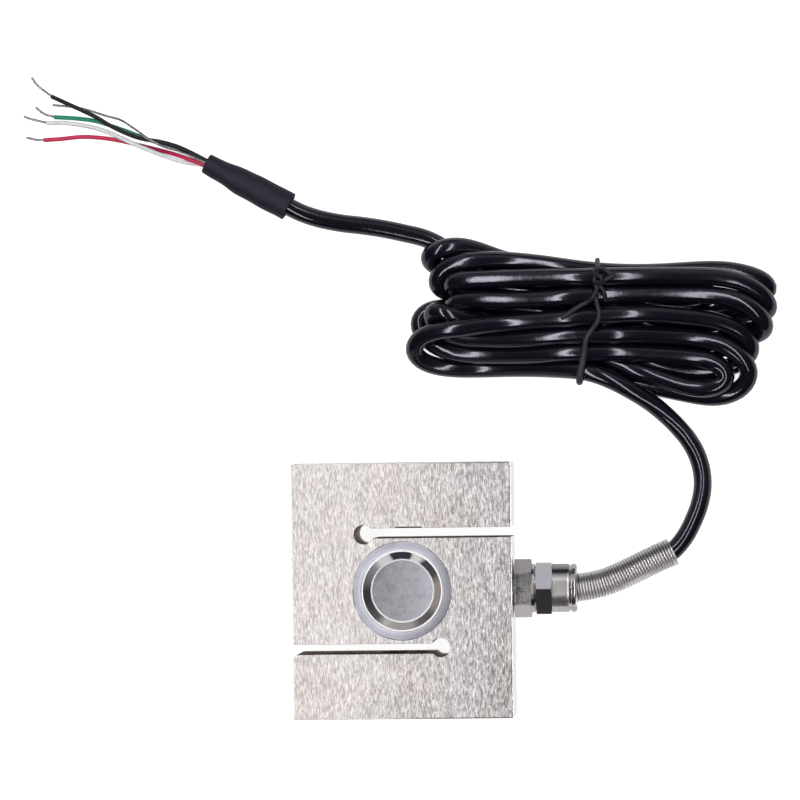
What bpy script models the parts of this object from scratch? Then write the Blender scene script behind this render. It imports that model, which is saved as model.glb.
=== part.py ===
"""S-type load cell with its cable gland, spring relief and tied hank of cable.

The beam lies on its rear face, centred on the origin. X runs towards the cable gland,
Y along the load axis through both threads, and Z out of the front face. Lengths are metres.
"""

import math

import bmesh
import bpy
from mathutils import Matrix, Vector

# Clearances
SEAT_GAP = 0.0003
SEAL_GAP = 0.0002

# Beam
BEAM_WIDTH = 0.0510
BEAM_HEIGHT = 0.0595
BEAM_DEPTH = 0.0200
EDGE_BREAK = 0.00022
SLOT_WIDTH = 0.00233
SLOT_CENTRE = 0.0134
HOLE_RADIUS = 0.00224
HOLE_X = 0.0088
HOLE_Y = 0.01315
MOUTH_ROUND = 0.0011

# Gauge bore and its covers
COVER_REACH = 0.00920
COVER_WALL_RUN = 0.00175
COVER_DEPTH = 0.00200
COVER_SHEET = 0.00045
COVER_LIP = 0.00012
FLANGE_WIDTH = 0.00135
FLANGE_RECESS = 0.00020
SEALANT_WIDTH = 0.00055
SEALANT_HEIGHT = 0.00060

# Threads in the two ends of the beam, modelled at their minor diameter
END_THREAD_RADIUS = 0.00510
COUNTERSINK = 0.00090

# Side port and cable passage
PORT_RADIUS = 0.00400
PORT_DEPTH = 0.00600

# Gland
WASHER_THICKNESS = 0.00040
WASHER_RADIUS = 0.00560
LOWER_HEX_FLATS = 0.01180
LOWER_HEX_LENGTH = 0.00350
COLLAR_RADIUS = 0.00570
COLLAR_LENGTH = 0.00075
UPPER_HEX_FLATS = 0.01190
UPPER_HEX_LENGTH = 0.00385
SLEEVE_RADIUS = 0.00565
SLEEVE_LENGTH = 0.00350
GROOVE_LENGTH = 0.00075
GROOVE_DEPTH = 0.00035
RIM_LENGTH = 0.00145
RIM_ROUND = 0.00050
HEX_CHAMFER = 0.00030
GLAND_TUBE_RADIUS = 0.00470
BOSS_OVERLAP = 0.00050
CUTTER_OVERRUN = 0.00100
INSERT_LENGTH = 0.00400
INSERT_WALL = 0.00115
CLAMP_RING_LENGTH = 0.00060

# Spring
SPRING_RADIUS = 0.00335
SPRING_WIRE = 0.00030
SPRING_TURNS = 34
SPRING_STEPS = 9
SPRING_SEAT_DEPTH = 0.00120

# Cable and its wires
CABLE_RADIUS = 0.00215
CORE_RADIUS = 0.000475
STRAND_RADIUS = 0.00025
DRAIN_RADIUS = 0.00025
CORE_SPREAD = 0.00060
DRAIN_DROP = 0.00120
LEAD_OFF_CENTRE = 0.00025
CABLE_STEP = 0.00450
TAIL_STEP = 0.00600
CORE_STEP = 0.00400

# Hank and its tie
HANK_HEIGHT = 0.01200
HANK_ROUND = 0.00150
HANK_STEP = 0.00400
TIE_RADIUS = 0.00050
TIE_BITE = 0.00025

# Heat-shrink sleeve
SHRINK_WALL = 0.00050
SHRINK_LENGTH = 0.02220
SHRINK_OVERLAP = 0.01250
SHRINK_END_RADIUS = 0.00240
SHRINK_WAIST = 0.45
SHRINK_NARROWING = 0.00025

# Inside the gauge bore
GAUGE_SPAN = math.radians(24.0)
GAUGE_ANGLE = math.radians(25.0)
GAUGE_LENGTH = 0.00600
GAUGE_THICKNESS = 0.00025
BOARD_WIDTH = 0.00760
BOARD_HEIGHT = 0.00860
BOARD_THICKNESS = 0.00080
RESISTOR_RADIUS = 0.00070
RESISTOR_LENGTH = 0.00360
RESISTOR_SPACING = 0.00300
GAUGE_LEAD_RADIUS = 0.00020
GAUGE_LEAD_SPACING = 0.00090
GAUGE_LEAD_BOW = 0.00100
GAUGE_LEAD_STEP = 0.00160
INNER_CORE_BOW = 0.00150
INNER_CORE_REACH = 0.00120
INNER_CORE_STEP = 0.00250
JACKET_REACH = 0.00250

# Worked out from the sizes above
MID_DEPTH = BEAM_DEPTH / 2
FLANGE_RADIUS = COVER_REACH + FLANGE_WIDTH
COUNTERBORE_RADIUS = FLANGE_RADIUS + SEALANT_WIDTH + 2 * SEAL_GAP
COUNTERBORE_DEPTH = FLANGE_RECESS + COVER_SHEET + SEAT_GAP
BORE_RADIUS = COVER_REACH + SEAT_GAP
PASSAGE_RADIUS = CABLE_RADIUS + SEAT_GAP
BEAM_FACE = BEAM_WIDTH / 2
PORT_FLOOR = BEAM_FACE - PORT_DEPTH
LOWER_HEX_START = BEAM_FACE + WASHER_THICKNESS + 2 * SEAL_GAP
COLLAR_START = LOWER_HEX_START + LOWER_HEX_LENGTH
NUT_START = COLLAR_START + COLLAR_LENGTH + SEAL_GAP
SLEEVE_START = NUT_START + UPPER_HEX_LENGTH
GROOVE_START = SLEEVE_START + SLEEVE_LENGTH
RIM_START = GROOVE_START + GROOVE_LENGTH
NUT_MOUTH = RIM_START + RIM_LENGTH
SPRING_SEAT = NUT_MOUTH - SPRING_SEAT_DEPTH
CLAMP_RING_END = SPRING_SEAT - 3 * SEAT_GAP
CLAMP_RING_START = CLAMP_RING_END - CLAMP_RING_LENGTH
INSERT_START = CLAMP_RING_START - SEAT_GAP - INSERT_LENGTH
INSERT_BORE = PASSAGE_RADIUS
INSERT_RADIUS = INSERT_BORE + INSERT_WALL
CAGE_RADIUS = INSERT_RADIUS + SEAT_GAP
NUT_BORE = GLAND_TUBE_RADIUS + SEAT_GAP

TURN_STEPS = 36
SMALL_STEPS = 20

# The cable's way from the nut's mouth, in millimetres: along X and Y from the mouth, and the
# height of its underside above the table. The spring's axis starts it.
SPRING_ROUTE = (
    (0.0, 0.0), (5.4, 0.9), (10.1, 2.6), (14.8, 4.8), (19.5, 7.0), (22.2, 8.1),
)
SPRING_DROOP = 0.0013
LEAD_ROUTE = (
    (25.2, 11.5, 6.3), (27.3, 15.4, 5.6), (28.8, 19.3, 4.6), (29.5, 23.3, 3.2), (29.2, 27.4, 2.0),
    (27.8, 31.6, 1.4), (25.2, 35.7, 1.4), (22.0, 39.0, 1.8), (17.2, 43.4, 2.6),
)
TAIL_ROUTE = (
    (-34.4, 82.1, 0.0), (-40.2, 83.7, 0.0), (-45.2, 84.8, 0.0), (-50.1, 85.6, 0.0),
    (-54.7, 86.2, 0.2), (-59.5, 87.2, 0.55), (-63.7, 88.6, 0.85), (-66.9, 90.2, 1.0),
)
HANK_OUTLINE = (
    (-33.0, 81.9), (-28.0, 83.1), (-21.5, 81.3), (-12.0, 78.7), (-3.0, 77.1), (6.0, 75.8),
    (16.0, 75.4), (30.0, 76.3), (41.0, 74.6), (47.0, 70.6), (47.9, 65.0), (46.4, 60.0),
    (43.6, 55.4), (42.8, 49.8), (40.4, 45.0), (35.6, 42.2), (29.5, 41.6), (23.0, 43.4),
    (16.5, 46.5), (8.0, 48.8), (-1.0, 49.4), (-13.0, 49.5), (-26.0, 49.2), (-34.0, 50.6),
    (-38.4, 53.8), (-38.8, 59.0), (-37.6, 64.5), (-33.6, 69.0), (-33.4, 73.0), (-35.2, 77.5),
)

# The tie, in millimetres from the mouth: the two sides of the hank's waist that it goes round,
# its free end and its looped end. The knot's share is its way from the low side to the high one.
TIE_LOW = (1.2, 49.2)
TIE_HIGH = (5.7, 75.9)
TIE_FREE_END = (-4.2, 62.6)
TIE_LOOP_END = (9.6, 71.6)
TIE_KNOT_SHARE = 0.68
TIE_TWIN_GAP = 0.0008
TIE_CORNER = 0.0032

# Wires past the sleeve's small end: X and Y from that end and the height of each axis, as drawn
CORE_ROUTES = {
    "red": (
        (-4.4, 1.2, 2.9), (-7.8, 2.4, 1.9), (-11.2, 3.4, 0.9), (-13.8, 4.1, 0.55), (-16.9, 4.9, 0.5),
        (-20.5, 5.8, 0.55), (-25.2, 6.6, 0.55), (-29.9, 6.9, 0.55), (-34.7, 6.5, 0.55), (-38.9, 6.3, 0.55),
    ),
    "black": (
        (-5.9, 3.7, 3.8), (-10.6, 5.2, 4.1), (-14.1, 5.8, 3.9), (-17.7, 6.9, 3.3), (-22.5, 9.2, 2.6),
        (-26.1, 11.4, 2.0), (-29.7, 13.2, 1.6), (-33.3, 14.9, 1.2), (-36.9, 16.6, 0.7),
    ),
    "green": (
        (-4.9, 2.7, 2.2), (-9.6, 4.0, 2.4), (-13.2, 5.4, 2.3), (-15.6, 6.6, 1.9), (-19.2, 8.1, 1.2),
        (-22.8, 9.4, 0.8), (-25.7, 10.4, 0.55), (-28.7, 11.0, 0.55), (-32.2, 11.4, 0.55), (-36.3, 11.7, 0.55),
    ),
    "white": (
        (-5.3, 0.4, 2.3), (-9.7, 1.8, 2.6), (-13.2, 3.2, 2.5), (-16.7, 4.7, 2.2), (-20.3, 6.4, 1.8),
        (-23.9, 8.0, 1.2), (-27.5, 9.2, 0.8), (-31.1, 9.9, 0.55), (-34.6, 10.3, 0.55), (-38.2, 10.3, 0.55),
    ),
}
STRAND_ENDS = {
    "red": ((-40.6, 6.4, 0.4), (-43.0, 7.0, 0.3)),
    "black": ((-38.8, 18.1, 0.55), (-40.4, 19.5, 0.3), (-41.6, 21.2, 0.3)),
    "green": ((-37.9, 12.2, 0.4), (-39.3, 12.9, 0.3), (-40.7, 14.1, 0.3)),
    "white": ((-39.8, 10.8, 0.4), (-41.7, 11.3, 0.3), (-43.6, 12.0, 0.3)),
}
DRAIN_ROUTE = (
    (-3.8, 1.9, 0.7), (-6.8, 3.1, 0.3), (-9.8, 4.0, 0.3), (-13.0, 5.6, 0.3), (-15.7, 7.6, 0.3),
    (-18.0, 9.2, 0.3), (-20.4, 10.7, 0.3), (-24.0, 11.8, 0.3), (-29.9, 13.7, 0.3), (-36.7, 14.6, 0.3),
)

# Name: colour, roughness, metallic
FINISHES = {
    "nickel_plated_steel": ((0.60, 0.57, 0.55), 0.38, 1.0),
    "stamped_steel": ((0.62, 0.63, 0.66), 0.16, 1.0),
    "nickel_plated_brass": ((0.66, 0.63, 0.61), 0.22, 1.0),
    "spring_steel": ((0.62, 0.60, 0.59), 0.25, 1.0),
    "sealant": ((0.46, 0.46, 0.55), 0.35, 0.0),
    "black_rubber": ((0.02, 0.02, 0.02), 0.70, 0.0),
    "cable_jacket": ((0.010, 0.010, 0.014), 0.24, 0.0),
    "shrink_tubing": ((0.022, 0.022, 0.028), 0.55, 0.0),
    "tie_wire": ((0.016, 0.016, 0.018), 0.50, 0.0),
    "brass": ((0.70, 0.52, 0.22), 0.30, 1.0),
    "red_insulation": ((0.62, 0.02, 0.06), 0.40, 0.0),
    "black_insulation": ((0.012, 0.012, 0.014), 0.40, 0.0),
    "green_insulation": ((0.010, 0.26, 0.13), 0.40, 0.0),
    "white_insulation": ((0.80, 0.80, 0.84), 0.40, 0.0),
    "tinned_copper": ((0.62, 0.58, 0.53), 0.35, 1.0),
    "gauge_foil": ((0.55, 0.36, 0.10), 0.35, 0.0),
    "circuit_board": ((0.03, 0.18, 0.08), 0.45, 0.0),
    "resistor_body": ((0.10, 0.22, 0.40), 0.40, 0.0),
    "lead_enamel": ((0.45, 0.12, 0.04), 0.35, 0.0),
}


def clear_scene():
    """Remove whatever the file holds."""
    for item in list(bpy.data.objects):
        bpy.data.objects.remove(item, do_unlink=True)


def make_collection(name):
    """Return a new collection under the scene's own."""
    group = bpy.data.collections.new(name)
    bpy.context.scene.collection.children.link(group)
    return group


def finish(name):
    """Return the named material, made on first use."""
    existing = bpy.data.materials.get(name)
    if existing:
        return existing
    colour, roughness, metallic = FINISHES[name]
    material = bpy.data.materials.new(name)
    material.use_nodes = True
    shader = material.node_tree.nodes["Principled BSDF"]
    shader.inputs["Base Color"].default_value = (*colour, 1.0)
    shader.inputs["Roughness"].default_value = roughness
    shader.inputs["Metallic"].default_value = metallic
    material.diffuse_color = (*colour, 1.0)
    return material


def place(item, material_name=None):
    """Link an object to the part's collection, or to the cutters' one if it has no material."""
    if material_name:
        item.data.materials.append(finish(material_name))
        PART.objects.link(item)
    else:
        item.hide_render = True
        item.display_type = "WIRE"
        CUTTERS.objects.link(item)
    return item


def shade_round(mesh, angle=35.0):
    """Shade a mesh smooth and keep its real edges sharp."""
    mesh.shade_smooth()
    mesh.set_sharp_from_angle(angle=math.radians(angle))


def arc(centre, radius, start, sweep, steps):
    """Points on an arc, both ends included."""
    angles = [start + sweep * step / steps for step in range(steps + 1)]
    return [(centre[0] + radius * math.cos(a), centre[1] + radius * math.sin(a)) for a in angles]


def turned(name, profile, material_name=None, steps=TURN_STEPS, closed=False, sheet=0.0):
    """Turn a (radius, height) profile about Z. It runs down its outer side.

    A closed profile makes a ring, and a sheet thickness makes an open profile a shell.
    """
    mesh = bpy.data.meshes.new(name)
    links = [(i, i + 1) for i in range(len(profile) - 1)]
    if closed:
        links.append((len(profile) - 1, 0))
    mesh.from_pydata([(radius, 0.0, height) for radius, height in profile], links, [])
    item = place(bpy.data.objects.new(name, mesh), material_name)
    screw = item.modifiers.new("turn", "SCREW")
    screw.axis = "Z"
    screw.steps = steps
    screw.render_steps = steps
    screw.use_merge_vertices = True
    screw.merge_threshold = 0.00001
    screw.use_smooth_shade = True
    if sheet:
        shell = item.modifiers.new("sheet", "SOLIDIFY")
        shell.thickness = sheet
        shell.offset = -1.0
    return item


def to_mesh(item, material_name=None):
    """Replace a curve object by a closed mesh object in the same place."""
    graph = bpy.context.evaluated_depsgraph_get()
    graph.update()
    mesh = bpy.data.meshes.new_from_object(item.evaluated_get(graph))
    work = bmesh.new()
    work.from_mesh(mesh)
    bmesh.ops.remove_doubles(work, verts=work.verts, dist=0.000001)
    work.to_mesh(mesh)
    work.free()
    mesh.materials.clear()
    name = item.name
    matrix = item.matrix_world.copy()
    bpy.data.objects.remove(item, do_unlink=True)
    solid = bpy.data.objects.new(name, mesh)
    solid.matrix_world = matrix
    return place(solid, material_name)


def flat_outline(name, points, thickness):
    """A flat closed outline in the XY plane, as a curve thickened about Z = 0."""
    curve = bpy.data.curves.new(name, "CURVE")
    curve.dimensions = "2D"
    curve.fill_mode = "BOTH"
    curve.extrude = thickness / 2
    spline = curve.splines.new("POLY")
    spline.points.add(len(points) - 1)
    for point, (x, y) in zip(spline.points, points):
        point.co = (x, y, 0.0, 1.0)
    spline.use_cyclic_u = True
    item = bpy.data.objects.new(name, curve)
    bpy.context.scene.collection.objects.link(item)
    return item


def tube(name, points, radius, material_name=None, resolution=2):
    """A round tube with filled caps along points."""
    curve = bpy.data.curves.new(name, "CURVE")
    curve.dimensions = "3D"
    curve.bevel_depth = radius
    curve.bevel_resolution = resolution
    curve.use_fill_caps = True
    spline = curve.splines.new("POLY")
    spline.points.add(len(points) - 1)
    for point, position in zip(spline.points, points):
        point.co = (*position, 1.0)
    spline.use_smooth = True
    return place(bpy.data.objects.new(name, curve), material_name)


def smooth_route(points, spacing, closed=False):
    """Read a smooth curve through points at an even spacing."""
    knots = [Vector(point) for point in points]
    if closed:
        knots = [knots[-1], *knots, knots[0], knots[1]]
    else:
        knots = [2 * knots[0] - knots[1], *knots, 2 * knots[-1] - knots[-2]]
    fine = []
    for a, b, c, d in zip(knots, knots[1:], knots[2:], knots[3:]):
        for step in range(16):
            t = step / 16
            fine.append(0.5 * (2 * b + (c - a) * t + (2 * a - 5 * b + 4 * c - d) * t ** 2
                               + (3 * b - a - 3 * c + d) * t ** 3))
    fine.append(knots[-2])
    lengths = [0.0]
    for before, after in zip(fine, fine[1:]):
        lengths.append(lengths[-1] + (after - before).length)
    count = max(2, round(lengths[-1] / spacing))
    even = []
    index = 0
    for step in range(count + 1):
        target = lengths[-1] * step / count
        while index < len(lengths) - 2 and lengths[index + 1] < target:
            index += 1
        share = (target - lengths[index]) / (lengths[index + 1] - lengths[index])
        even.append(fine[index].lerp(fine[index + 1], share))
    return even[:-1] if closed else even


def boolean(item, cutter, operation="DIFFERENCE"):
    """Cut an object with another, or join them."""
    modifier = item.modifiers.new(cutter.name, "BOOLEAN")
    modifier.operation = operation
    modifier.object = cutter
    modifier.solver = "EXACT"


def turn_towards_x(item, start):
    """Stand a turned shape's own Z along X at the gland's axis, from the given X."""
    item.location = (start, 0.0, MID_DEPTH)
    item.rotation_euler = (0.0, math.pi / 2, 0.0)


def slot_outline(mouth_round):
    """The upper slot's edge, in from the right side, round its end hole and out again."""
    lower = SLOT_CENTRE - SLOT_WIDTH / 2
    upper = SLOT_CENTRE + SLOT_WIDTH / 2
    hole = (-HOLE_X, HOLE_Y)
    first = math.asin((lower - HOLE_Y) / HOLE_RADIUS)
    last = math.asin((upper - HOLE_Y) / HOLE_RADIUS)
    points = [(BEAM_FACE, lower)]
    points += arc(hole, HOLE_RADIUS, first, last - first - 2 * math.pi, 28)
    if mouth_round:
        corner = (BEAM_FACE - mouth_round, upper + mouth_round)
        points += arc(corner, mouth_round, -math.pi / 2, math.pi / 2, 4)
    else:
        points.append((BEAM_FACE, upper))
    return points


def beam_outline():
    """The S: each half is the other turned about the centre, but for one worn slot mouth."""
    bottom = [(-BEAM_FACE, -BEAM_HEIGHT / 2), (BEAM_FACE, -BEAM_HEIGHT / 2)]
    top = [(-x, -y) for x, y in bottom]
    left_slot = [(-x, -y) for x, y in slot_outline(MOUTH_ROUND)]
    return bottom + slot_outline(0.0) + top + left_slot


def break_edges(item, width):
    """Chamfer the rims of the two flat faces of a thickened outline."""
    work = bmesh.new()
    work.from_mesh(item.data)
    bmesh.ops.dissolve_limit(work, angle_limit=math.radians(1.0), verts=work.verts, edges=work.edges)
    rims = [edge for edge in work.edges
            if abs(edge.verts[0].co.z - edge.verts[1].co.z) < width
            and edge.calc_face_angle(0.0) > math.radians(60.0)]
    bmesh.ops.bevel(work, geom=rims, offset=width, segments=1, affect="EDGES", clamp_overlap=True)
    work.to_mesh(item.data)
    work.free()


def bore_cutter():
    """Through bore with a counterbore at each face."""
    outside = BEAM_DEPTH / 2 + CUTTER_OVERRUN
    ledge = BEAM_DEPTH / 2 - COUNTERBORE_DEPTH
    profile = [(0.0, outside), (COUNTERBORE_RADIUS, outside), (COUNTERBORE_RADIUS, ledge),
               (BORE_RADIUS, ledge), (BORE_RADIUS, -ledge), (COUNTERBORE_RADIUS, -ledge),
               (COUNTERBORE_RADIUS, -outside), (0.0, -outside)]
    cutter = turned("bore_cutter", profile, steps=48)
    cutter.location.z = MID_DEPTH
    return cutter


def end_thread_cutter(side):
    """Countersunk hole from one end face into the nearer slot. Side is 1 or -1 along Y."""
    face = BEAM_HEIGHT / 2
    outside = face + CUTTER_OVERRUN
    mouth = END_THREAD_RADIUS + COUNTERSINK + CUTTER_OVERRUN
    profile = [(0.0, outside), (mouth, outside),
               (END_THREAD_RADIUS, face - COUNTERSINK), (END_THREAD_RADIUS, SLOT_CENTRE),
               (0.0, SLOT_CENTRE)]
    cutter = turned("top_thread_cutter" if side > 0 else "bottom_thread_cutter", profile, steps=32)
    cutter.location.z = MID_DEPTH
    cutter.rotation_euler = (-side * math.pi / 2, 0.0, 0.0)
    return cutter


def port_cutter():
    """Side port for the gland and the narrower cable passage behind it."""
    outside = BEAM_FACE + CUTTER_OVERRUN
    profile = [(0.0, outside), (PORT_RADIUS, outside),
               (PORT_RADIUS, PORT_FLOOR), (PASSAGE_RADIUS, PORT_FLOOR),
               (PASSAGE_RADIUS, BORE_RADIUS / 2), (0.0, BORE_RADIUS / 2)]
    cutter = turned("port_cutter", profile, steps=SMALL_STEPS)
    turn_towards_x(cutter, 0.0)
    return cutter


def make_beam():
    """The milled S-beam with its bore, end threads and side port."""
    beam = to_mesh(flat_outline("s_beam", beam_outline(), BEAM_DEPTH), "nickel_plated_steel")
    break_edges(beam, EDGE_BREAK)
    beam.location.z = MID_DEPTH
    for cutter in (bore_cutter(), end_thread_cutter(1), end_thread_cutter(-1), port_cutter()):
        boolean(beam, cutter)


def cover_profile():
    """Outer face of the stamped cup, from the middle out: floor, sloping wall, lip and flange."""
    flange = -FLANGE_RECESS
    lip = flange + COVER_LIP
    floor = lip - COVER_DEPTH
    wall_foot = COVER_REACH - COVER_SHEET - COVER_WALL_RUN
    corner = COVER_SHEET
    return [(0.0, floor), (wall_foot - corner, floor), (wall_foot, floor + corner / 3),
            (wall_foot + corner / 2, floor + corner), (COVER_REACH - corner, lip - corner),
            (COVER_REACH, lip), (COVER_REACH + corner, flange), (FLANGE_RADIUS, flange)]


def make_cover(name, sealant_name, side):
    """A cover and its bead of sealant. Side is 1 for the front face and -1 for the rear."""
    inner = FLANGE_RADIUS + SEAL_GAP
    outer = inner + SEALANT_WIDTH
    top = -FLANGE_RECESS
    chamfer = SEALANT_WIDTH / 4
    bead = [(inner + chamfer, top), (outer - chamfer, top), (outer, top - chamfer),
            (outer, top - SEALANT_HEIGHT), (inner, top - SEALANT_HEIGHT), (inner, top - chamfer)]
    pieces = [turned(name, cover_profile(), "stamped_steel", sheet=COVER_SHEET),
              turned(sealant_name, bead, "sealant", closed=True)]
    for piece in pieces:
        piece.location.z = BEAM_DEPTH if side > 0 else 0.0
        piece.rotation_euler.x = 0.0 if side > 0 else math.pi


def hexagon(name, flats, start, length, corner_forward):
    """A hexagon bar along X with chamfered corners, with a corner or a flat to the front."""
    corners = flats / 2 / math.cos(math.pi / 6)
    prism = turned(name, [(0.0, length), (corners, length), (corners, 0.0), (0.0, 0.0)], steps=6)
    turn_towards_x(prism, start)
    if not corner_forward:
        quarter = Matrix.Rotation(math.pi / 2, 3, "Y")
        prism.rotation_euler = (quarter @ Matrix.Rotation(math.pi / 6, 3, "Z")).to_euler()
    rim = corners - HEX_CHAMFER
    rise = HEX_CHAMFER / 2
    cone = turned(name + "_chamfer", [(0.0, length), (rim, length), (corners, length - rise),
                                      (corners, rise), (rim, 0.0), (0.0, 0.0)])
    turn_towards_x(cone, start)
    boolean(prism, cone, "INTERSECT")
    return prism


def make_gland_body():
    """Gland body: threaded boss, hexagon, collar and the tube that holds the rubber bush."""
    boss = PORT_RADIUS - SEAT_GAP
    boss_start = PORT_FLOOR + SEAT_GAP
    collar_end = COLLAR_START + COLLAR_LENGTH
    tube_end = CLAMP_RING_END
    profile = [(0.0, tube_end), (GLAND_TUBE_RADIUS, tube_end), (GLAND_TUBE_RADIUS, collar_end),
               (COLLAR_RADIUS, collar_end), (COLLAR_RADIUS, COLLAR_START - BOSS_OVERLAP),
               (boss, COLLAR_START - BOSS_OVERLAP), (boss, boss_start), (0.0, boss_start)]
    body = turned("gland_body", profile, "nickel_plated_brass", steps=32)
    turn_towards_x(body, 0.0)
    boolean(body, hexagon("lower_hexagon", LOWER_HEX_FLATS, LOWER_HEX_START, LOWER_HEX_LENGTH, False),
            "UNION")
    cage_floor = INSERT_START - SEAT_GAP
    near = boss_start - CUTTER_OVERRUN
    far = tube_end + CUTTER_OVERRUN
    bore = [(0.0, far), (CAGE_RADIUS, far), (CAGE_RADIUS, cage_floor),
            (PASSAGE_RADIUS, cage_floor), (PASSAGE_RADIUS, near), (0.0, near)]
    cutter = turned("gland_body_bore", bore, steps=SMALL_STEPS)
    turn_towards_x(cutter, 0.0)
    boolean(body, cutter)


def make_gland_nut():
    """Gland nut: hexagon, round sleeve, groove and a rounded rim that holds the spring."""
    waist = SLEEVE_RADIUS - GROOVE_DEPTH
    rounding = [(NUT_MOUTH - RIM_ROUND + y, x) for x, y in
                arc((SLEEVE_RADIUS - RIM_ROUND, 0.0), RIM_ROUND, math.pi / 2, -math.pi / 2, 3)]
    profile = [(0.0, NUT_MOUTH)] + [(radius, height) for height, radius in rounding]
    profile += [(SLEEVE_RADIUS, RIM_START), (waist, RIM_START), (waist, GROOVE_START),
                (SLEEVE_RADIUS, GROOVE_START), (SLEEVE_RADIUS, NUT_START), (0.0, NUT_START)]
    nut = turned("gland_nut", profile, "nickel_plated_brass")
    turn_towards_x(nut, 0.0)
    boolean(nut, hexagon("upper_hexagon", UPPER_HEX_FLATS, NUT_START, UPPER_HEX_LENGTH, True), "UNION")
    seat = SPRING_RADIUS + SEAT_GAP
    floor = CLAMP_RING_END + SEAT_GAP
    near = NUT_START - CUTTER_OVERRUN
    far = NUT_MOUTH + CUTTER_OVERRUN
    bore = [(0.0, far), (seat, far), (seat, SPRING_SEAT - SEAT_GAP),
            (PASSAGE_RADIUS, SPRING_SEAT - SEAT_GAP), (PASSAGE_RADIUS, floor), (NUT_BORE, floor),
            (NUT_BORE, near), (0.0, near)]
    cutter = turned("gland_nut_bore", bore, steps=32)
    turn_towards_x(cutter, 0.0)
    boolean(nut, cutter)


def make_ring(name, outer, inner, start, length, material_name):
    """A plain ring round the gland's axis."""
    profile = [(outer, start + length), (outer, start), (inner, start), (inner, start + length)]
    ring = turned(name, profile, material_name, steps=SMALL_STEPS, closed=True)
    turn_towards_x(ring, 0.0)


def make_gland():
    """Gland body, nut and the rings between them."""
    make_gland_body()
    make_gland_nut()
    make_ring("gland_washer", WASHER_RADIUS, PORT_RADIUS, BEAM_FACE + SEAL_GAP, WASHER_THICKNESS,
              "black_rubber")
    make_ring("sealing_insert", INSERT_RADIUS, INSERT_BORE, INSERT_START, INSERT_LENGTH, "black_rubber")
    make_ring("clamp_ring", INSERT_RADIUS, INSERT_BORE, CLAMP_RING_START, CLAMP_RING_LENGTH, "brass")


def from_mouth(x, y, z):
    """Place a point given in millimetres from the nut's mouth, with its height as it is."""
    return Vector((NUT_MOUTH + x / 1000, y / 1000, z))


def spring_axis():
    """The spring's axis, straight out of the nut and then bent and drooping a little."""
    reach = SPRING_ROUTE[-1][0]
    seat = [Vector((SPRING_SEAT + SPRING_WIRE, 0.0, MID_DEPTH))]
    return seat + [from_mouth(x, y, MID_DEPTH - SPRING_DROOP * (x / reach) ** 2) for x, y in SPRING_ROUTE]


def make_spring():
    """Close-wound helix along the bent axis."""
    centres = smooth_route(spring_axis(), 0.0001)
    across = Vector((0.0, 1.0, 0.0))
    coil = SPRING_RADIUS - SPRING_WIRE
    points = []
    total = SPRING_TURNS * SPRING_STEPS
    for step in range(total + 1):
        index = step * (len(centres) - 2) // total
        along = (centres[index + 1] - centres[index]).normalized()
        across = (across - across.dot(along) * along).normalized()
        share = step * (len(centres) - 2) / total - index
        centre = centres[index].lerp(centres[index + 1], share)
        angle = 2 * math.pi * step / SPRING_STEPS
        points.append(centre + coil * (math.cos(angle) * across + math.sin(angle) * along.cross(across)))
    tube("relief_spring", points, SPRING_WIRE, "spring_steel", resolution=1)


def make_cable():
    """The jacket inside the gland, the lead to the hank and the tail to the sleeve."""
    inside = BORE_RADIUS - JACKET_REACH
    inner = [Vector((inside, 0.0, MID_DEPTH)), Vector((NUT_MOUTH - SEAT_GAP, 0.0, MID_DEPTH))]
    tube("cable_inner", inner, CABLE_RADIUS, "cable_jacket")
    axis = spring_axis()[1:]
    aside = Vector((0.0, LEAD_OFF_CENTRE / (len(axis) - 1), 0.0))
    lead = [point + index * aside for index, point in enumerate(axis)]
    lead += [from_mouth(x, y, CABLE_RADIUS + lift / 1000) for x, y, lift in LEAD_ROUTE]
    tube("cable_lead", smooth_route(lead, CABLE_STEP), CABLE_RADIUS, "cable_jacket", resolution=3)
    tube("cable_tail", smooth_route(tail_route(), TAIL_STEP), CABLE_RADIUS, "cable_jacket", resolution=3)


def tail_route():
    """The tail's points, which end where the jacket is stripped inside the sleeve."""
    points = [from_mouth(x, y, CABLE_RADIUS + lift / 1000) for x, y, lift in TAIL_ROUTE]
    mouth = points[-1]
    return points + [mouth + SHRINK_OVERLAP * shrink_direction() * share for share in (0.3, 0.65, 1.0)]


def shrink_direction():
    """The sleeve's direction: on along the end of the tail, falling a little."""
    return Vector((-0.8775, 0.4770, -0.0080)).normalized()


def shrink_end():
    """The centre of the sleeve's small end, where the wires come out."""
    x, y, lift = TAIL_ROUTE[-1]
    return from_mouth(x, y, CABLE_RADIUS + lift / 1000) + SHRINK_LENGTH * shrink_direction()


def make_shrink():
    """The heat-shrink sleeve, wide over the jacket and drawn in on the wires."""
    bore = CABLE_RADIUS + SEAT_GAP
    wide = bore + SHRINK_WALL
    shoulder = SHRINK_LENGTH - SHRINK_OVERLAP
    waist = shoulder * SHRINK_WAIST
    profile = [(wide, SHRINK_LENGTH), (wide, shoulder), (wide - SHRINK_NARROWING, waist),
               (SHRINK_END_RADIUS, 0.0), (SHRINK_END_RADIUS - SHRINK_WALL, 0.0),
               (bore - SHRINK_NARROWING, waist), (bore, shoulder), (bore, SHRINK_LENGTH)]
    sleeve = turned("heat_shrink", profile, "shrink_tubing", steps=SMALL_STEPS, closed=True)
    sleeve.location = shrink_end()
    sleeve.rotation_euler = (-shrink_direction()).to_track_quat("Z", "Y").to_euler()


def inside_sleeve(offset):
    """A wire's way from the stripped jacket to the sleeve's small end, off its axis."""
    end = shrink_end() + offset
    back = (SHRINK_LENGTH - SHRINK_OVERLAP - SEAT_GAP) * shrink_direction()
    return [end - back, end - back / 2, end]


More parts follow.
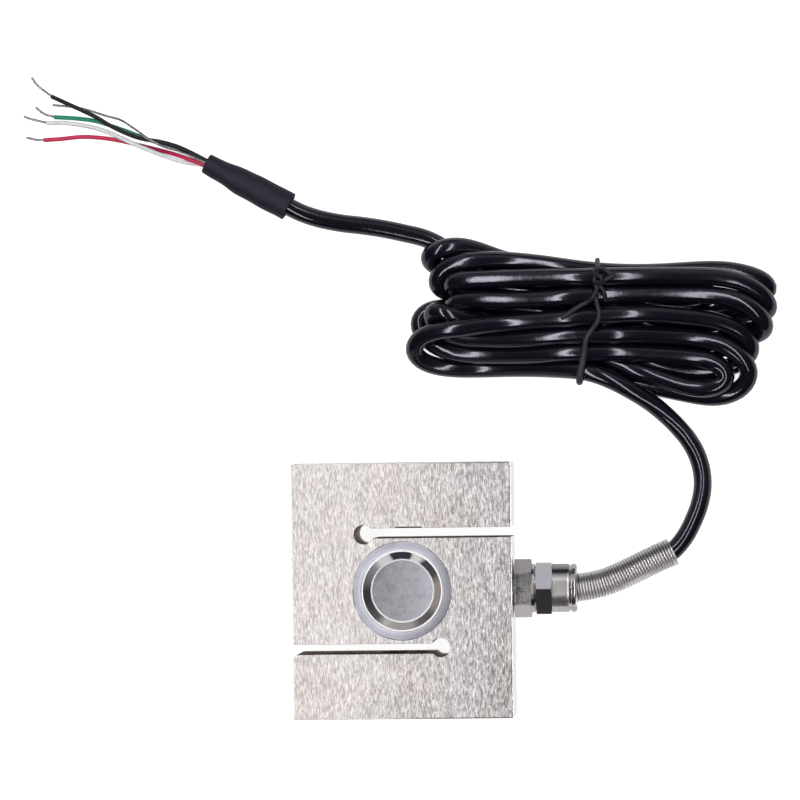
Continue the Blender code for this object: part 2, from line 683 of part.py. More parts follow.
def core_start(colour):
    """An insulated wire's way through the sleeve, each in its own quarter."""
    side, level = {"red": (1, 1), "black": (-1, 1), "green": (-1, -1), "white": (1, -1)}[colour]
    direction = shrink_direction()
    across = Vector((0, 0, 1)).cross(direction).normalized()
    return inside_sleeve(CORE_SPREAD * (side * across + level * direction.cross(across)))


def from_shrink(x, y, z):
    """Place a point given in millimetres from the sleeve's small end, at its own height."""
    end = shrink_end()
    return Vector((end.x + x / 1000, end.y + y / 1000, z / 1000))


def make_cores():
    """The four insulated wires, their bare ends and the shield's drain wire."""
    for colour, route in CORE_ROUTES.items():
        points = core_start(colour) + [from_shrink(*point) for point in route]
        path = smooth_route(points, CORE_STEP)
        tube("core_" + colour, path, CORE_RADIUS, colour + "_insulation")
        ahead = (path[-1] - path[-2]).normalized()
        bare = [path[-1] + SEAT_GAP * ahead] + [from_shrink(*point) for point in STRAND_ENDS[colour]]
        tube("strand_" + colour, bare, STRAND_RADIUS, "tinned_copper", resolution=1)
    drain = inside_sleeve(Vector((0.0, 0.0, -DRAIN_DROP)))
    drain += [from_shrink(*point) for point in DRAIN_ROUTE]
    tube("shield_drain", smooth_route(drain, CABLE_STEP), DRAIN_RADIUS, "tinned_copper", resolution=1)


def tie_corner(point, direction, height, start):
    """A quarter turn of the tie round one edge of the hank."""
    centre = point + (TIE_RADIUS + SEAT_GAP - TIE_CORNER) * direction
    centre.z = height
    turns = [start + step * math.pi / 8 for step in range(5)]
    return [centre + TIE_CORNER * (math.cos(a) * direction + Vector((0.0, 0.0, math.sin(a)))) for a in turns]


def tie_points():
    """The tie wire: a free end, once round the waist of the hank, and a short looped end."""
    low = from_mouth(*TIE_LOW, 0.0)
    high = from_mouth(*TIE_HIGH, 0.0)
    along = (high - low).normalized()
    beside = Vector((along.y, -along.x, 0.0))
    over = HANK_HEIGHT + TIE_RADIUS - TIE_BITE
    knot = low.lerp(high, TIE_KNOT_SHARE) + Vector((0.0, 0.0, over))
    free = from_mouth(*TIE_FREE_END, over)
    bottom = TIE_RADIUS + TIE_CORNER
    top = over - TIE_CORNER
    points = [free, (free + knot) / 2, knot - TIE_TWIN_GAP * beside]
    points += reversed(tie_corner(low, -along, top, 0.0))
    points += reversed(tie_corner(low, -along, bottom, -math.pi / 2))
    points += tie_corner(high, along, bottom, -math.pi / 2)
    points += tie_corner(high, along, top, 0.0)
    points += [knot + 1.5 * TIE_TWIN_GAP * (beside + along), from_mouth(*TIE_LOOP_END, over)]
    return points


def make_hank():
    """The tied hank as one solid, with a groove where the tie draws it in."""
    outline = [Vector((NUT_MOUTH + x / 1000, y / 1000, 0.0)) for x, y in HANK_OUTLINE]
    smooth = [(point.x, point.y) for point in smooth_route(outline, HANK_STEP, closed=True)]
    hank = to_mesh(flat_outline("cable_hank", smooth, HANK_HEIGHT), "cable_jacket")
    work = bmesh.new()
    work.from_mesh(hank.data)
    bmesh.ops.dissolve_limit(work, angle_limit=math.radians(1.0), verts=work.verts, edges=work.edges)
    rims = [edge for edge in work.edges
            if abs(edge.verts[0].co.z - edge.verts[1].co.z) < HANK_HEIGHT / 2]
    bmesh.ops.bevel(work, geom=rims, offset=HANK_ROUND, segments=2, profile=0.5, affect="EDGES")
    work.to_mesh(hank.data)
    work.free()
    shade_round(hank.data)
    hank.location.z = HANK_HEIGHT / 2
    groove = to_mesh(tube("tie_groove", tie_points(), TIE_RADIUS + SEAT_GAP, resolution=2))
    boolean(hank, groove)
    tube("hank_tie", tie_points(), TIE_RADIUS, "tie_wire")


def gauge_outline(angle):
    """A thin curved strip against the bore's wall, as an outline across the bore."""
    outer = BORE_RADIUS - SEAL_GAP
    start = angle - GAUGE_SPAN / 2
    rim = arc((0.0, 0.0), outer, start, GAUGE_SPAN, 6)
    return rim + arc((0.0, 0.0), outer - GAUGE_THICKNESS, start + GAUGE_SPAN, -GAUGE_SPAN, 6)


def board_face():
    """X of the board's front, with its back corners seated on the bore's wall."""
    reach = BORE_RADIUS - SEAT_GAP
    return -math.sqrt(reach ** 2 - (BOARD_WIDTH / 2) ** 2) + BOARD_THICKNESS


def make_gauges():
    """Four strain gauges on the thin webs and their leads to the board."""
    face = board_face() + SEAT_GAP + GAUGE_LEAD_RADIUS
    inner = BORE_RADIUS - SEAL_GAP - GAUGE_THICKNESS - GAUGE_LEAD_RADIUS - SEAT_GAP
    index = 0
    for side in (1, -1):
        for forward in (1, -1):
            index += 1
            angle = side * (math.pi / 2 - forward * GAUGE_ANGLE)
            name = "strain_gauge_%d" % index
            gauge = to_mesh(flat_outline(name, gauge_outline(angle), GAUGE_LENGTH), "gauge_foil")
            gauge.location.z = MID_DEPTH
            level = MID_DEPTH - forward * GAUGE_LEAD_SPACING
            start = Vector((inner * math.cos(angle), inner * math.sin(angle), level))
            end = Vector((face, side * BOARD_WIDTH * 3 / 8, level))
            middle = (start + end) / 2 - Vector((forward * GAUGE_LEAD_BOW, 0.0, 0.0))
            tube("gauge_lead_%d" % index, smooth_route((start, middle, end), GAUGE_LEAD_STEP),
                 GAUGE_LEAD_RADIUS, "lead_enamel", resolution=1)


def make_board():
    """The terminal board on the bore's wall, with its two resistors."""
    face = board_face()
    bpy.ops.mesh.primitive_cube_add(size=1.0)
    board = bpy.context.object
    board.name = "terminal_board"
    board.data.transform(Matrix.Diagonal((BOARD_THICKNESS, BOARD_WIDTH, BOARD_HEIGHT, 1.0)))
    board.location = (face - BOARD_THICKNESS / 2, 0.0, MID_DEPTH)
    board.users_collection[0].objects.unlink(board)
    place(board, "circuit_board")
    for index, side in enumerate((-1, 1), start=1):
        bpy.ops.mesh.primitive_cylinder_add(vertices=16, radius=RESISTOR_RADIUS, depth=RESISTOR_LENGTH)
        resistor = bpy.context.object
        resistor.name = "bridge_resistor_%d" % index
        resistor.rotation_euler = (math.pi / 2, 0.0, 0.0)
        resistor.location = (face + SEAT_GAP + RESISTOR_RADIUS, 0.0, MID_DEPTH + side * RESISTOR_SPACING)
        resistor.users_collection[0].objects.unlink(resistor)
        place(resistor, "resistor_body")


def make_inner_cores():
    """The cable's wires across the bore, from the stripped jacket to the board."""
    start = BORE_RADIUS - JACKET_REACH - SEAT_GAP
    end = board_face() + SEAT_GAP
    sides = {"red": (1, 1), "black": (-1, 1), "green": (1, -1), "white": (-1, -1)}
    for colour, (across, up) in sides.items():
        level = MID_DEPTH + up * CORE_SPREAD
        near = Vector((start, across * CORE_SPREAD, level))
        middle = Vector(((start + end) / 2, across * INNER_CORE_BOW, level + up * CORE_SPREAD / 2))
        far = Vector((end, across * INNER_CORE_REACH, level))
        tube("inner_core_" + colour, smooth_route((near, middle, far), INNER_CORE_STEP),
             CORE_RADIUS, colour + "_insulation")


def build():
    """Make every piece."""
    make_beam()
    make_cover("front_cover", "front_sealant", 1)
    make_cover("rear_cover", "rear_sealant", -1)
    make_gauges()
    make_board()
    make_inner_cores()
    make_gland()
    make_spring()
    make_cable()
    make_hank()
    make_shrink()
    make_cores()


clear_scene()
PART = make_collection("s_type_load_cell")
CUTTERS = make_collection("cutters")
build()
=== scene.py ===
"""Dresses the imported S-type load cell: finishes, gland, spring, covers and the tied cable.

The frame's axes hold: X runs towards the cable gland, Y along the load axis and Z out of the
front face. Sizes are metres, but for the routes, which are drawn in millimetres.
"""

import math

import bmesh
import bpy
import numpy as np
from bpy.props import FloatProperty, FloatVectorProperty, IntProperty, PointerProperty
from mathutils import Matrix, Vector


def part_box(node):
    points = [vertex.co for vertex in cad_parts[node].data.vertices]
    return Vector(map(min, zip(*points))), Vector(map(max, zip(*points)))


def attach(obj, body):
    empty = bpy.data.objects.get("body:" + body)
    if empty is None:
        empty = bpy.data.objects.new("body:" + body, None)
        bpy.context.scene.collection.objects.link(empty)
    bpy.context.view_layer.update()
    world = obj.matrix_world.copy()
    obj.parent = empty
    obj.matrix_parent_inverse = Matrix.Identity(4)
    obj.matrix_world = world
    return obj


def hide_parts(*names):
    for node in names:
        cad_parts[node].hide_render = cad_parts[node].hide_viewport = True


bl_info = {
    "name": "S-type load cell",
    "version": (1, 0, 0),
    "blender": (4, 5, 0),
    "location": "3D View > Sidebar > Load cell",
    "description": "Dresses the packed S-type load cell with its finishes, spring and tied cable",
    "category": "Object",
}

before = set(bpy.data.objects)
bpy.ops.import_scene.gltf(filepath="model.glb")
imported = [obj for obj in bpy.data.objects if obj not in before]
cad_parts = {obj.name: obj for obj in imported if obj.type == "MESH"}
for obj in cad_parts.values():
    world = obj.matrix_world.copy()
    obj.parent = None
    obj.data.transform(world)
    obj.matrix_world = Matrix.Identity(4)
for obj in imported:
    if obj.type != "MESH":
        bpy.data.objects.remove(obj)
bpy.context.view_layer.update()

BEAM_LOW, BEAM_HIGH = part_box("s_beam")
MID_DEPTH = (BEAM_LOW.z + BEAM_HIGH.z) / 2
NUT_BACK, NUT_MOUTH = (corner.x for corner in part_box("gland_nut"))
BODY_BACK, TUBE_END = (corner.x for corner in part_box("gland_body"))
WASHER_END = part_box("gland_washer")[1].x
BODY = "root"

ROUND = 2 * math.pi
# Sides of a turned shape, steps of a rounded corner and steps between two knots of a smooth line
SMOOTH_STEPS = 96
CORNER_STEPS = 5
LINE_FINENESS = 14
# How far a cutter reaches past the beam, and the clearances of the gland, its nut and its washer
CUT_OVER = 0.001
GAP = 0.0003
WASHER_GAP = 0.0002
# The beam's side port round the gland's thread, and the passage for the cable behind it
PORT_RADIUS = 0.0040
PASSAGE_RADIUS = 0.00245
# The gland's broken edges, the depth of its bush's seat, and the chamfer of its hexagons: how far
# outside the flats it starts, and its steps
EDGE = 0.00012
BUSH_DEPTH = 0.0055
CHAMFER_LAND = 0.00006
CHAMFER_STEPS = 4

# Painted reflections round the cups' drawn walls, light and dark in bands, once round from the side away
# from the gland
PAINTED_WALL_REFLECTIONS = (
    (0.00, (0.05, 0.05, 0.06)), (0.05, (0.06, 0.05, 0.06)), (0.13, (0.12, 0.11, 0.10)),
    (0.17, (0.60, 0.57, 0.56)), (0.21, (0.45, 0.41, 0.40)), (0.29, (0.42, 0.39, 0.38)),
    (0.33, (0.14, 0.12, 0.12)), (0.38, (0.11, 0.10, 0.10)), (0.43, (0.36, 0.32, 0.31)),
    (0.53, (0.44, 0.38, 0.37)), (0.57, (0.10, 0.09, 0.09)), (0.645, (0.07, 0.07, 0.08)),
    (0.665, (1.0, 1.0, 1.0)), (0.70, (1.0, 1.0, 1.0)), (0.715, (0.04, 0.04, 0.06)),
    (0.795, (0.04, 0.04, 0.06)), (0.81, (1.0, 1.0, 1.0)), (0.85, (1.0, 1.0, 1.0)),
    (0.885, (0.40, 0.39, 0.41)), (0.94, (0.24, 0.22, 0.23)), (1.00, (0.05, 0.05, 0.06)),
)
# Painted light and shade across the nut's round sleeve: Y in millimetres and how bright the plating is
# painted there
PAINTED_SLEEVE_LIGHT = (
    (-5.4, 0.98), (-4.4, 1.25), (-4.05, 0.66), (-3.75, 0.70), (-3.35, 1.90), (-2.7, 1.70), (-2.3, 0.95),
    (-1.9, 0.58), (-1.0, 0.62), (-0.6, 0.50), (1.7, 0.50), (2.1, 0.95), (2.5, 1.50), (3.2, 1.45),
    (3.5, 0.80), (3.85, 0.28), (4.3, 0.20), (4.5, 0.56), (5.5, 0.58),
)
# How bright the studio's walls are, from the near side to the far side behind the hank
WALL_LIGHT = (
    (0.00, 0.02), (0.12, 0.05), (0.35, 0.06), (0.55, 0.09), (0.72, 0.22), (0.84, 0.90), (0.95, 1.00),
    (0.98, 0.10), (1.00, 0.05),
)
# The hank's strands lean away from its tied waist: its place and how far that reaches
CROWN_PLACE = 0.0455
CROWN_REACH = 0.033

# The cable's way from the nut's mouth, as in the CAD source: along X and Y from the mouth in
# millimetres, and the height of its underside above the table.
SPRING_ROUTE = (
    (0.0, 0.0), (5.4, 0.9), (10.1, 2.6), (14.8, 4.8), (19.5, 7.0), (22.2, 8.1),
)
LEAD_ROUTE = (
    (25.2, 11.5, 6.3), (27.3, 15.4, 5.6), (28.8, 19.3, 4.6), (29.5, 23.3, 3.2), (29.2, 27.4, 2.0),
    (27.8, 31.6, 1.4), (25.2, 35.7, 1.4), (22.0, 39.0, 1.8), (17.2, 43.4, 2.6),
)
INTO_HANK = (
    (14.2, 45.0, 5.0), (10.5, 47.3, 5.6), (5.9, 49.4, 5.2), (1.2, 50.9, 4.4), (-5.8, 51.6, 3.0),
    (-17.6, 51.5, 1.4),
)
OUT_OF_HANK = ((-17.2, 72.4, 0.0), (-23.1, 75.2, 0.0), (-28.5, 78.8, 0.0))
TAIL_ROUTE = (
    (-34.4, 82.1, 0.0), (-40.2, 83.7, 0.0), (-45.2, 84.8, 0.0), (-50.1, 85.6, 0.0),
    (-54.7, 86.2, 0.2), (-59.5, 87.2, 0.55), (-63.7, 88.6, 0.85), (-66.9, 90.2, 1.0),
)
SLEEVE_WAY = Vector((-0.8775, 0.4770, -0.0080)).normalized()

# The hank in winding order, in millimetres from the mouth. Each row is one bend and the pass
# after it. Bend: its tip in X, Y and height; how far it reaches back and the Y there, before
# and after the tip; and what is in sight, 1 for before the tip, 2 for after it and 3 for both.
# Pass: Y at the three stations across the waist, the height that it starts from, and whether it
# is in sight.
FIRST_HEIGHT = 3.0
STATIONS = (-10.3, 4.9, 17.8)
WINDING = (
    (-38.2, 56.2, 8.0, 10.5, 51.6, 14.0, 61.5, 3, 62.2, 63.3, 63.7, 9.8, True),
    (41.2, 55.8, 6.6, 16.8, 62.8, 12.9, 49.6, 1, 61.5, 60.3, 53.0, 2.2, False),
    (-37.0, 63.1, 2.4, 5.9, 67.2, 11.7, 55.1, 2, 54.5, 54.9, 54.3, 6.8, True),
    (36.2, 48.6, 8.2, 9.8, 53.5, 7.0, 45.8, 3, 59.0, 55.0, 49.6, 6.5, False),
    (-33.3, 64.4, 4.4, 3.3, 66.9, 8.2, 58.5, 2, 58.2, 58.9, 58.8, 7.8, True),
    (41.1, 49.8, 7.0, 18.7, 58.4, 9.8, 43.9, 3, 57.5, 56.0, 48.4, 2.2, False),
    (-28.4, 66.8, 6.0, 3.2, 64.8, 3.2, 67.4, 2, 67.4, 68.3, 68.6, 10.0, True),
    (45.0, 60.2, 5.5, 14.5, 67.9, 14.5, 55.6, 1, 65.0, 63.8, 57.8, 3.0, False),
    (-29.2, 70.8, 6.4, 3.2, 68.0, 3.2, 72.0, 2, 72.5, 72.3, 72.2, 10.4, True),
    (45.8, 63.6, 4.5, 14.5, 72.0, 16.4, 57.0, 1, 66.5, 62.0, 58.5, 2.2, False),
    (-31.6, 72.6, 7.0, 3.8, 67.0, 6.1, 77.1, 2, 76.1, 73.8, 73.3, 6.4, True),
    (46.6, 67.3, 3.4, 14.1, 73.8, 17.6, 59.8, 1, 69.0, 65.9, 61.5, 4.0, False),
    (-34.2, 77.7, 6.8, 4.7, 72.0, 7.0, 80.0, 2, 74.3, 71.2, 69.5, 2.2, False),
    (34.0, 67.9, 2.3, 8.0, 69.7, 8.0, 65.5, 0, 69.8, 67.2, 65.3, 2.2, False),
)
BEND_ANGLES = (20, 40, 65, 90)

# How the hank settles. Each round draws a point back towards its drawn place, by these parts of
# the way in X, Y and height, for points in sight and for hidden ones; lets it sink; draws it
# between its neighbours; straightens the cord over points four apart; and keeps its length.
SEEN_PULL = (0.25, 0.25, 0.03)
HIDDEN_PULL = (0.025, 0.025, 0.01)
SINK = 0.00003
EVEN_OUT = 0.2
STRAIGHTEN = 0.6
STRAIGHT_REACH = 4
KEEP_LENGTH = 0.225
# Then strands that touch are pushed apart. What is in sight gives way by this part of what hidden
# strands do, and the push is a little more than what is missing.
SEEN_GIVE = 0.15
PUSH = 1.3
# Points along the cord that never count as touching: fewer than these apart
NEIGHBOURS = 6
# In the end it is smoothed: one step in, one step out, so that it doesn't shrink
SMOOTHING = (0.55, -0.57) * 25
# The lead and the tail lie as drawn, over these lengths
HELD_LEAD = 0.058
HELD_TAIL = 0.050

# The tie, from its stub down the near side, under the hank, up the far side and out at its free
# end, and its knot. Millimetres from the mouth; the last number lifts it off what it lies on, and
# in the way under the hank it is the height.
TIE_TOP = (
    (9.4, 72.5, 0.3), (7.6, 71.6, 0.6), (6.3, 70.4, 0.5), (5.3, 68.6, 0.2), (5.5, 66.2, 0.0),
    (6.0, 64.1, 0.0), (5.5, 61.8, 0.0), (4.1, 60.0, 0.0), (2.9, 58.1, 0.0), (2.4, 55.3, 0.0),
    (1.9, 52.6, 0.0), (1.4, 50.4, 0.0),
)
TIE_KNOT = (
    (9.1, 72.7, 0.1), (7.7, 73.8, 0.7), (6.4, 74.4, 1.2), (5.0, 73.8, 1.0), (5.2, 72.8, 0.8),
    (6.5, 72.3, 1.5), (6.6, 71.3, 1.5), (5.3, 70.9, 1.0), (5.3, 70.1, 1.0), (6.5, 70.0, 1.4),
    (7.2, 68.6, 0.7), (7.6, 66.9, 0.1),
)
TIE_UNDER = (
    (1.1, 48.3, 7.5), (1.1, 48.1, 4.0), (1.4, 49.3, 1.2), (1.7, 51.3, 0.0), (3.35, 62.25, 0.0),
    (5.0, 73.2, 0.0), (5.3, 75.2, 1.2), (5.6, 76.4, 4.0), (5.6, 76.2, 6.6),
)
TIE_RETURN = (
    (5.8, 73.9, 0.0), (5.0, 71.6, 0.2), (5.6, 69.6, 1.1), (4.6, 67.6, 1.1), (3.2, 66.5, 0.5),
    (1.1, 65.4, 0.4), (-2.8, 62.8, 0.3),
)

# Wires past the sleeve's small end: X and Y from that end and the height of each axis above the
# table, in millimetres
CORE_ROUTES = {
    "red": (
        (-4.4, 1.2, 2.9), (-7.8, 2.4, 1.9), (-11.2, 3.4, 0.9), (-13.8, 4.1, 0.55), (-16.9, 4.9, 0.5),
        (-20.5, 5.8, 0.55), (-25.2, 6.6, 0.55), (-29.9, 6.9, 0.55), (-34.7, 6.5, 0.55),
        (-38.9, 6.3, 0.55),
    ),
    "black": (
        (-5.9, 3.7, 3.8), (-10.6, 5.2, 4.1), (-14.1, 5.8, 3.9), (-17.7, 6.9, 3.3), (-22.5, 9.2, 2.6),
        (-26.1, 11.4, 2.0), (-29.7, 13.2, 1.6), (-33.3, 14.9, 1.2), (-36.9, 16.6, 0.7),
    ),
    "green": (
        (-4.9, 3.2, 2.2), (-9.6, 4.5, 2.4), (-13.2, 5.7, 2.3), (-15.6, 6.6, 1.9), (-19.2, 8.1, 1.2),
        (-22.8, 9.4, 0.8), (-25.7, 10.4, 0.55), (-28.7, 11.0, 0.55), (-32.2, 11.4, 0.55),
        (-36.3, 11.7, 0.55),
    ),
    "white": (
        (-5.3, 0.4, 2.3), (-9.7, 1.8, 2.6), (-13.2, 3.2, 2.5), (-16.7, 4.7, 2.2), (-20.3, 6.4, 1.8),
        (-23.9, 8.0, 1.2), (-27.5, 9.2, 0.8), (-31.1, 9.9, 0.55), (-34.6, 10.3, 0.55),
        (-38.2, 10.3, 0.55),
    ),
}
# The bare ends past the insulation, in the same numbers
STRAND_ENDS = {
    "red": ((-40.6, 6.4, 0.4), (-43.0, 7.0, 0.4)),
    "black": ((-38.8, 18.1, 0.55), (-40.4, 19.5, 0.4), (-41.6, 21.2, 0.4)),
    "green": ((-37.9, 12.2, 0.4), (-39.3, 12.9, 0.4), (-40.7, 14.1, 0.4)),
    "white": ((-39.8, 10.8, 0.4), (-41.7, 11.3, 0.4), (-43.6, 12.0, 0.4)),
}
# Where each wire lies in the sleeve's end: across and up
CORE_SIDES = {"red": (1, 1), "black": (-1, 1), "green": (-1, -1), "white": (1, -1)}
DRAIN_ROUTE = (
    (-3.8, 1.9, 3.9), (-6.8, 3.1, 3.5), (-9.8, 4.0, 4.2), (-13.0, 5.6, 4.9), (-15.7, 7.6, 4.0),
    (-18.0, 9.2, 2.9), (-20.4, 10.7, 1.8), (-24.0, 11.8, 0.9), (-29.9, 13.7, 0.3), (-36.7, 14.6, 0.3),
)

# The photo's camera: where it stands, what it looks at, its upward side and its lens
CAMERA_PLACE = Vector((0.07252, 0.03698, 1.11210))
CAMERA_AIM = Vector((-0.00120, 0.04437, 0.0))
CAMERA_UP = Vector((0.01340, 0.99989, 0.00576))
CAMERA_LENS = 212.6
# The floor and the two long strips of light over it
FLOOR_HALF = 6.0
FLOOR_DROP = 0.0001
STRIP_ASIDE = 0.34
STRIP_HEIGHT = 1.00
STRIP_AIM = (0.0, 0.04, 0.0)
STRIP_SIZE = (1.8, 0.10)


# Properties


def length(name, text, value):
    """A length that the user may change."""
    return FloatProperty(name=name, description=text, default=value, min=0.0, unit="LENGTH",
                         precision=5)


def share(name, text, value, most=1.0):
    """A plain number from nothing to its most."""
    return FloatProperty(name=name, description=text, default=value, min=0.0, max=most)


def colour(name, text, value):
    """A colour that the user may change."""
    return FloatVectorProperty(name=name, description=text, default=value, size=3, min=0.0, max=1.0,
                               subtype="COLOR")


class BeamSettings(bpy.types.PropertyGroup):
    """Sizes and finish of the S-beam."""

    slot_width: length("Slot width", "Width of the two slots", 0.00233)
    slot_centre: length("Slot centre", "Distance of each slot from the beam's middle", 0.0134)
    hole_radius: length("Hole radius", "Radius of the round end of a slot", 0.00224)
    hole_x: length("Hole across", "Distance of an end hole from the load axis", 0.0088)
    hole_y: length("Hole along", "Distance of an end hole from the beam's middle", 0.01315)
    mouth_round: length("Worn mouth", "Rounding of the lower slot's lower corner", 0.0011)
    edge: length("Edge", "Width of the broken edges", 0.00020)
    bore: length("Bore", "Radius of the gauge bore", 0.0095)
    counterbore: length("Counterbore", "Radius of the covers' counterbore", 0.0115)
    counterbore_depth: length("Counterbore depth", "Depth of the covers' counterbore", 0.00095)
    thread_minor: length("Thread minor", "Minor radius of the M12 threads", 0.0051)
    thread_major: length("Thread major", "Major radius of the M12 threads", 0.0059)
    thread_pitch: length("Thread pitch", "Pitch of the M12 threads", 0.00175)
    countersink: length("Countersink", "Width of the threads' countersink", 0.0009)
    light: colour("Light streaks", "Colour of the nickel's bright streaks", (0.80, 0.765, 0.755))
    dark: colour("Dark streaks", "Colour of the nickel's dull streaks", (0.52, 0.495, 0.49))
    # Dark brown of the walls inside the slots and bores, also mixed in along the face's edges
    wall_brown: colour("Grime", "Colour of the oily walls inside the slots", (0.170, 0.120, 0.108))
    roughness: share("Roughness", "Mean roughness of the nickel", 0.60)


class CoverSettings(bpy.types.PropertyGroup):
    """Sizes and finish of the covers and their sealant."""

    reach: length("Lip", "Radius of the cup's lip", 0.0092)
    floor: length("Floor", "Radius of the cup's flat floor", 0.0072)
    depth: length("Depth", "Depth of the cup", 0.0020)
    sheet: length("Sheet", "Thickness of the stamped sheet", 0.00045)
    flange: length("Flange", "Outer radius of the flange", 0.01055)
    recess: length("Recess", "Flange's depth below the beam's face", 0.00020)
    sealant_inner: length("Sealant inner", "Inner radius of the sealant", 0.00962)
    sealant_outer: length("Sealant outer", "Outer radius of the sealant", 0.01142)
    steel: colour("Steel", "Colour of the stamped steel", (0.74, 0.73, 0.74))
    floor_tint: colour("Floor", "Colour of the cup's floor", (0.335, 0.335, 0.368))
    sealant: colour("Sealant", "Colour of the sealant", (0.545, 0.545, 0.635))


class GlandSettings(bpy.types.PropertyGroup):
    """Sizes and finish of the cable gland."""

    lower_flats: length("Lower hexagon", "Lower hexagon across its flats", 0.0118)
    lower_length: length("Lower length", "Length of the lower hexagon", 0.0035)
    lip: length("Lip", "How far the lower hexagon reaches over its washer", 0.0006)
    lip_bore: length("Lip bore", "Radius of the washer's seat in the lower hexagon", 0.00575)
    collar: length("Collar", "Radius of the collar", 0.0057)
    collar_length: length("Collar length", "Length of the collar", 0.00075)
    upper_flats: length("Upper hexagon", "Upper hexagon across its flats", 0.0119)
    upper_length: length("Upper length", "Length of the upper hexagon", 0.00385)
    sleeve: length("Sleeve", "Radius of the nut's round sleeve", 0.00565)
    sleeve_length: length("Sleeve length", "Length of the nut's round sleeve", 0.0039)
    groove_length: length("Groove", "Length of the groove", 0.0005)
    groove_depth: length("Groove depth", "Depth of the groove", 0.00035)
    rim: length("Rim", "Rounding of the nut's mouth", 0.0005)
    chamfer: length("Chamfer", "Length of a hexagon's chamfer", 0.00020)
    boss: length("Boss", "Radius of the boss in the beam's port", 0.0037)
    tube: length("Tube", "Radius of the tube inside the nut", 0.0047)
    cage: length("Cage", "Radius of the bush's seat", 0.0039)
    passage: length("Passage", "Radius of the cable's passage", PASSAGE_RADIUS)
    nickel: colour("Nickel", "Colour of the plated brass", (0.50, 0.48, 0.48))
    stain: colour("Stain", "Colour of the stained flat", (0.13, 0.12, 0.12))


class SpringSettings(bpy.types.PropertyGroup):
    """Sizes and finish of the spring relief."""

    radius: length("Radius", "Outer radius of the spring", 0.00335)
    wire: length("Wire", "Radius of the spring's wire", 0.00030)
    turns: share("Turns", "Number of turns", 37.0, most=200.0)
    droop: length("Droop", "How far the mouth hangs down", 0.0013)
    seat: length("Seat", "How deep the spring sits in the nut", 0.0012)
    steel: colour("Steel", "Colour of the spring's wire", (0.70, 0.665, 0.66))


class CableSettings(bpy.types.PropertyGroup):
    """Sizes and finish of the cable, its tie and its sleeve."""

    diameter: length("Diameter", "Diameter of the jacket", 0.0043)
    spacing: length("Spacing", "Distance of the points that settle in the hank", 0.0013)
    rounds: IntProperty(name="Rounds", description="Rounds of settling", default=500, min=1)
    jacket: colour("Jacket", "Colour of the jacket", (0.0052, 0.0050, 0.0098))
    crown: share("Crown", "How much the strands seem to lean away from the waist", 0.21)
    tie_radius: length("Tie", "Radius of the tie", 0.00058)
    tie: colour("Tie", "Colour of the tie", (0.0310, 0.0305, 0.0400))
    sleeve_length: length("Sleeve length", "Length of the heat-shrink sleeve", 0.0222)
    sleeve_overlap: length("Sleeve overlap", "How much of the sleeve lies over the jacket", 0.0125)
    sleeve_wide: length("Sleeve wide", "Radius of the sleeve over the jacket", 0.0029)
    sleeve_small: length("Sleeve small", "Radius of the sleeve's small end", 0.0024)
    sleeve_wall: length("Sleeve wall", "Thickness of the sleeve", 0.00045)
    sleeve_flat: share("Sleeve flat", "How much wider than high the sleeve is over the jacket", 0.17)
    sleeve: colour("Sleeve", "Colour of the sleeve", (0.0125, 0.0115, 0.0230))


class WireSettings(bpy.types.PropertyGroup):
    """Sizes and colours of the four wires and the shield."""

    core: length("Wire", "Radius of an insulated wire", 0.00051)
    spread: length("Spread", "Distance of the wires from the sleeve's axis", 0.0006)
    drain_lift: length("Drain lift", "How far the shield runs above the sleeve's axis", 0.0014)
    strand: length("Strand", "Radius of one bare strand", 0.000105)
    bundle: length("Bundle", "Radius on which the strands are twisted", 0.00019)
    red: colour("Red", "Colour of the red insulation", (0.62, 0.028, 0.095))
    green: colour("Green", "Colour of the green insulation", (0.008, 0.27, 0.15))
    white: colour("White", "Colour of the white insulation", (0.80, 0.80, 0.85))
    black: colour("Black", "Colour of the black insulation", (0.008, 0.008, 0.010))
    tin: colour("Tin", "Colour of the tinned strands", (0.40, 0.38, 0.385))


class StageSettings(bpy.types.PropertyGroup):
    """Strength of the studio's light."""

    right: FloatProperty(name="Right", description="Power of the long strip on the camera's right",
                         default=6.0, min=0.0, unit="POWER")
    left: FloatProperty(name="Left", description="Power of the long strip on the camera's left",
                        default=7.4, min=0.0, unit="POWER")
    surround: share("Surround", "Strength of the studio's walls", 0.50, most=10.0)
    glow: share("Glow", "How white the floor is by itself", 0.90, most=2.0)


# Node trees


class Value:
    """A number socket of a node tree. Python's operators on it add Math nodes."""

    def __init__(self, tree, socket):
        self.tree = tree
        self.socket = socket

    def math(self, operation, *others):
        """A Math node on this value and others."""
        return self.tree.math(operation, self, *others)

    def __add__(self, other):
        return self.math("ADD", other)

    def __sub__(self, other):
        return self.math("SUBTRACT", other)

    def __rsub__(self, other):
        return self.tree.math("SUBTRACT", other, self)

    def __mul__(self, other):
        return self.math("MULTIPLY", other)

    def __truediv__(self, other):
        return self.math("DIVIDE", other)

    def __pow__(self, other):
        return self.math("POWER", other)

    def __gt__(self, other):
        return self.math("GREATER_THAN", other)

    def __lt__(self, other):
        return self.math("LESS_THAN", other)

    def __abs__(self):
        return self.math("ABSOLUTE")

    __radd__ = __add__
    __rmul__ = __mul__


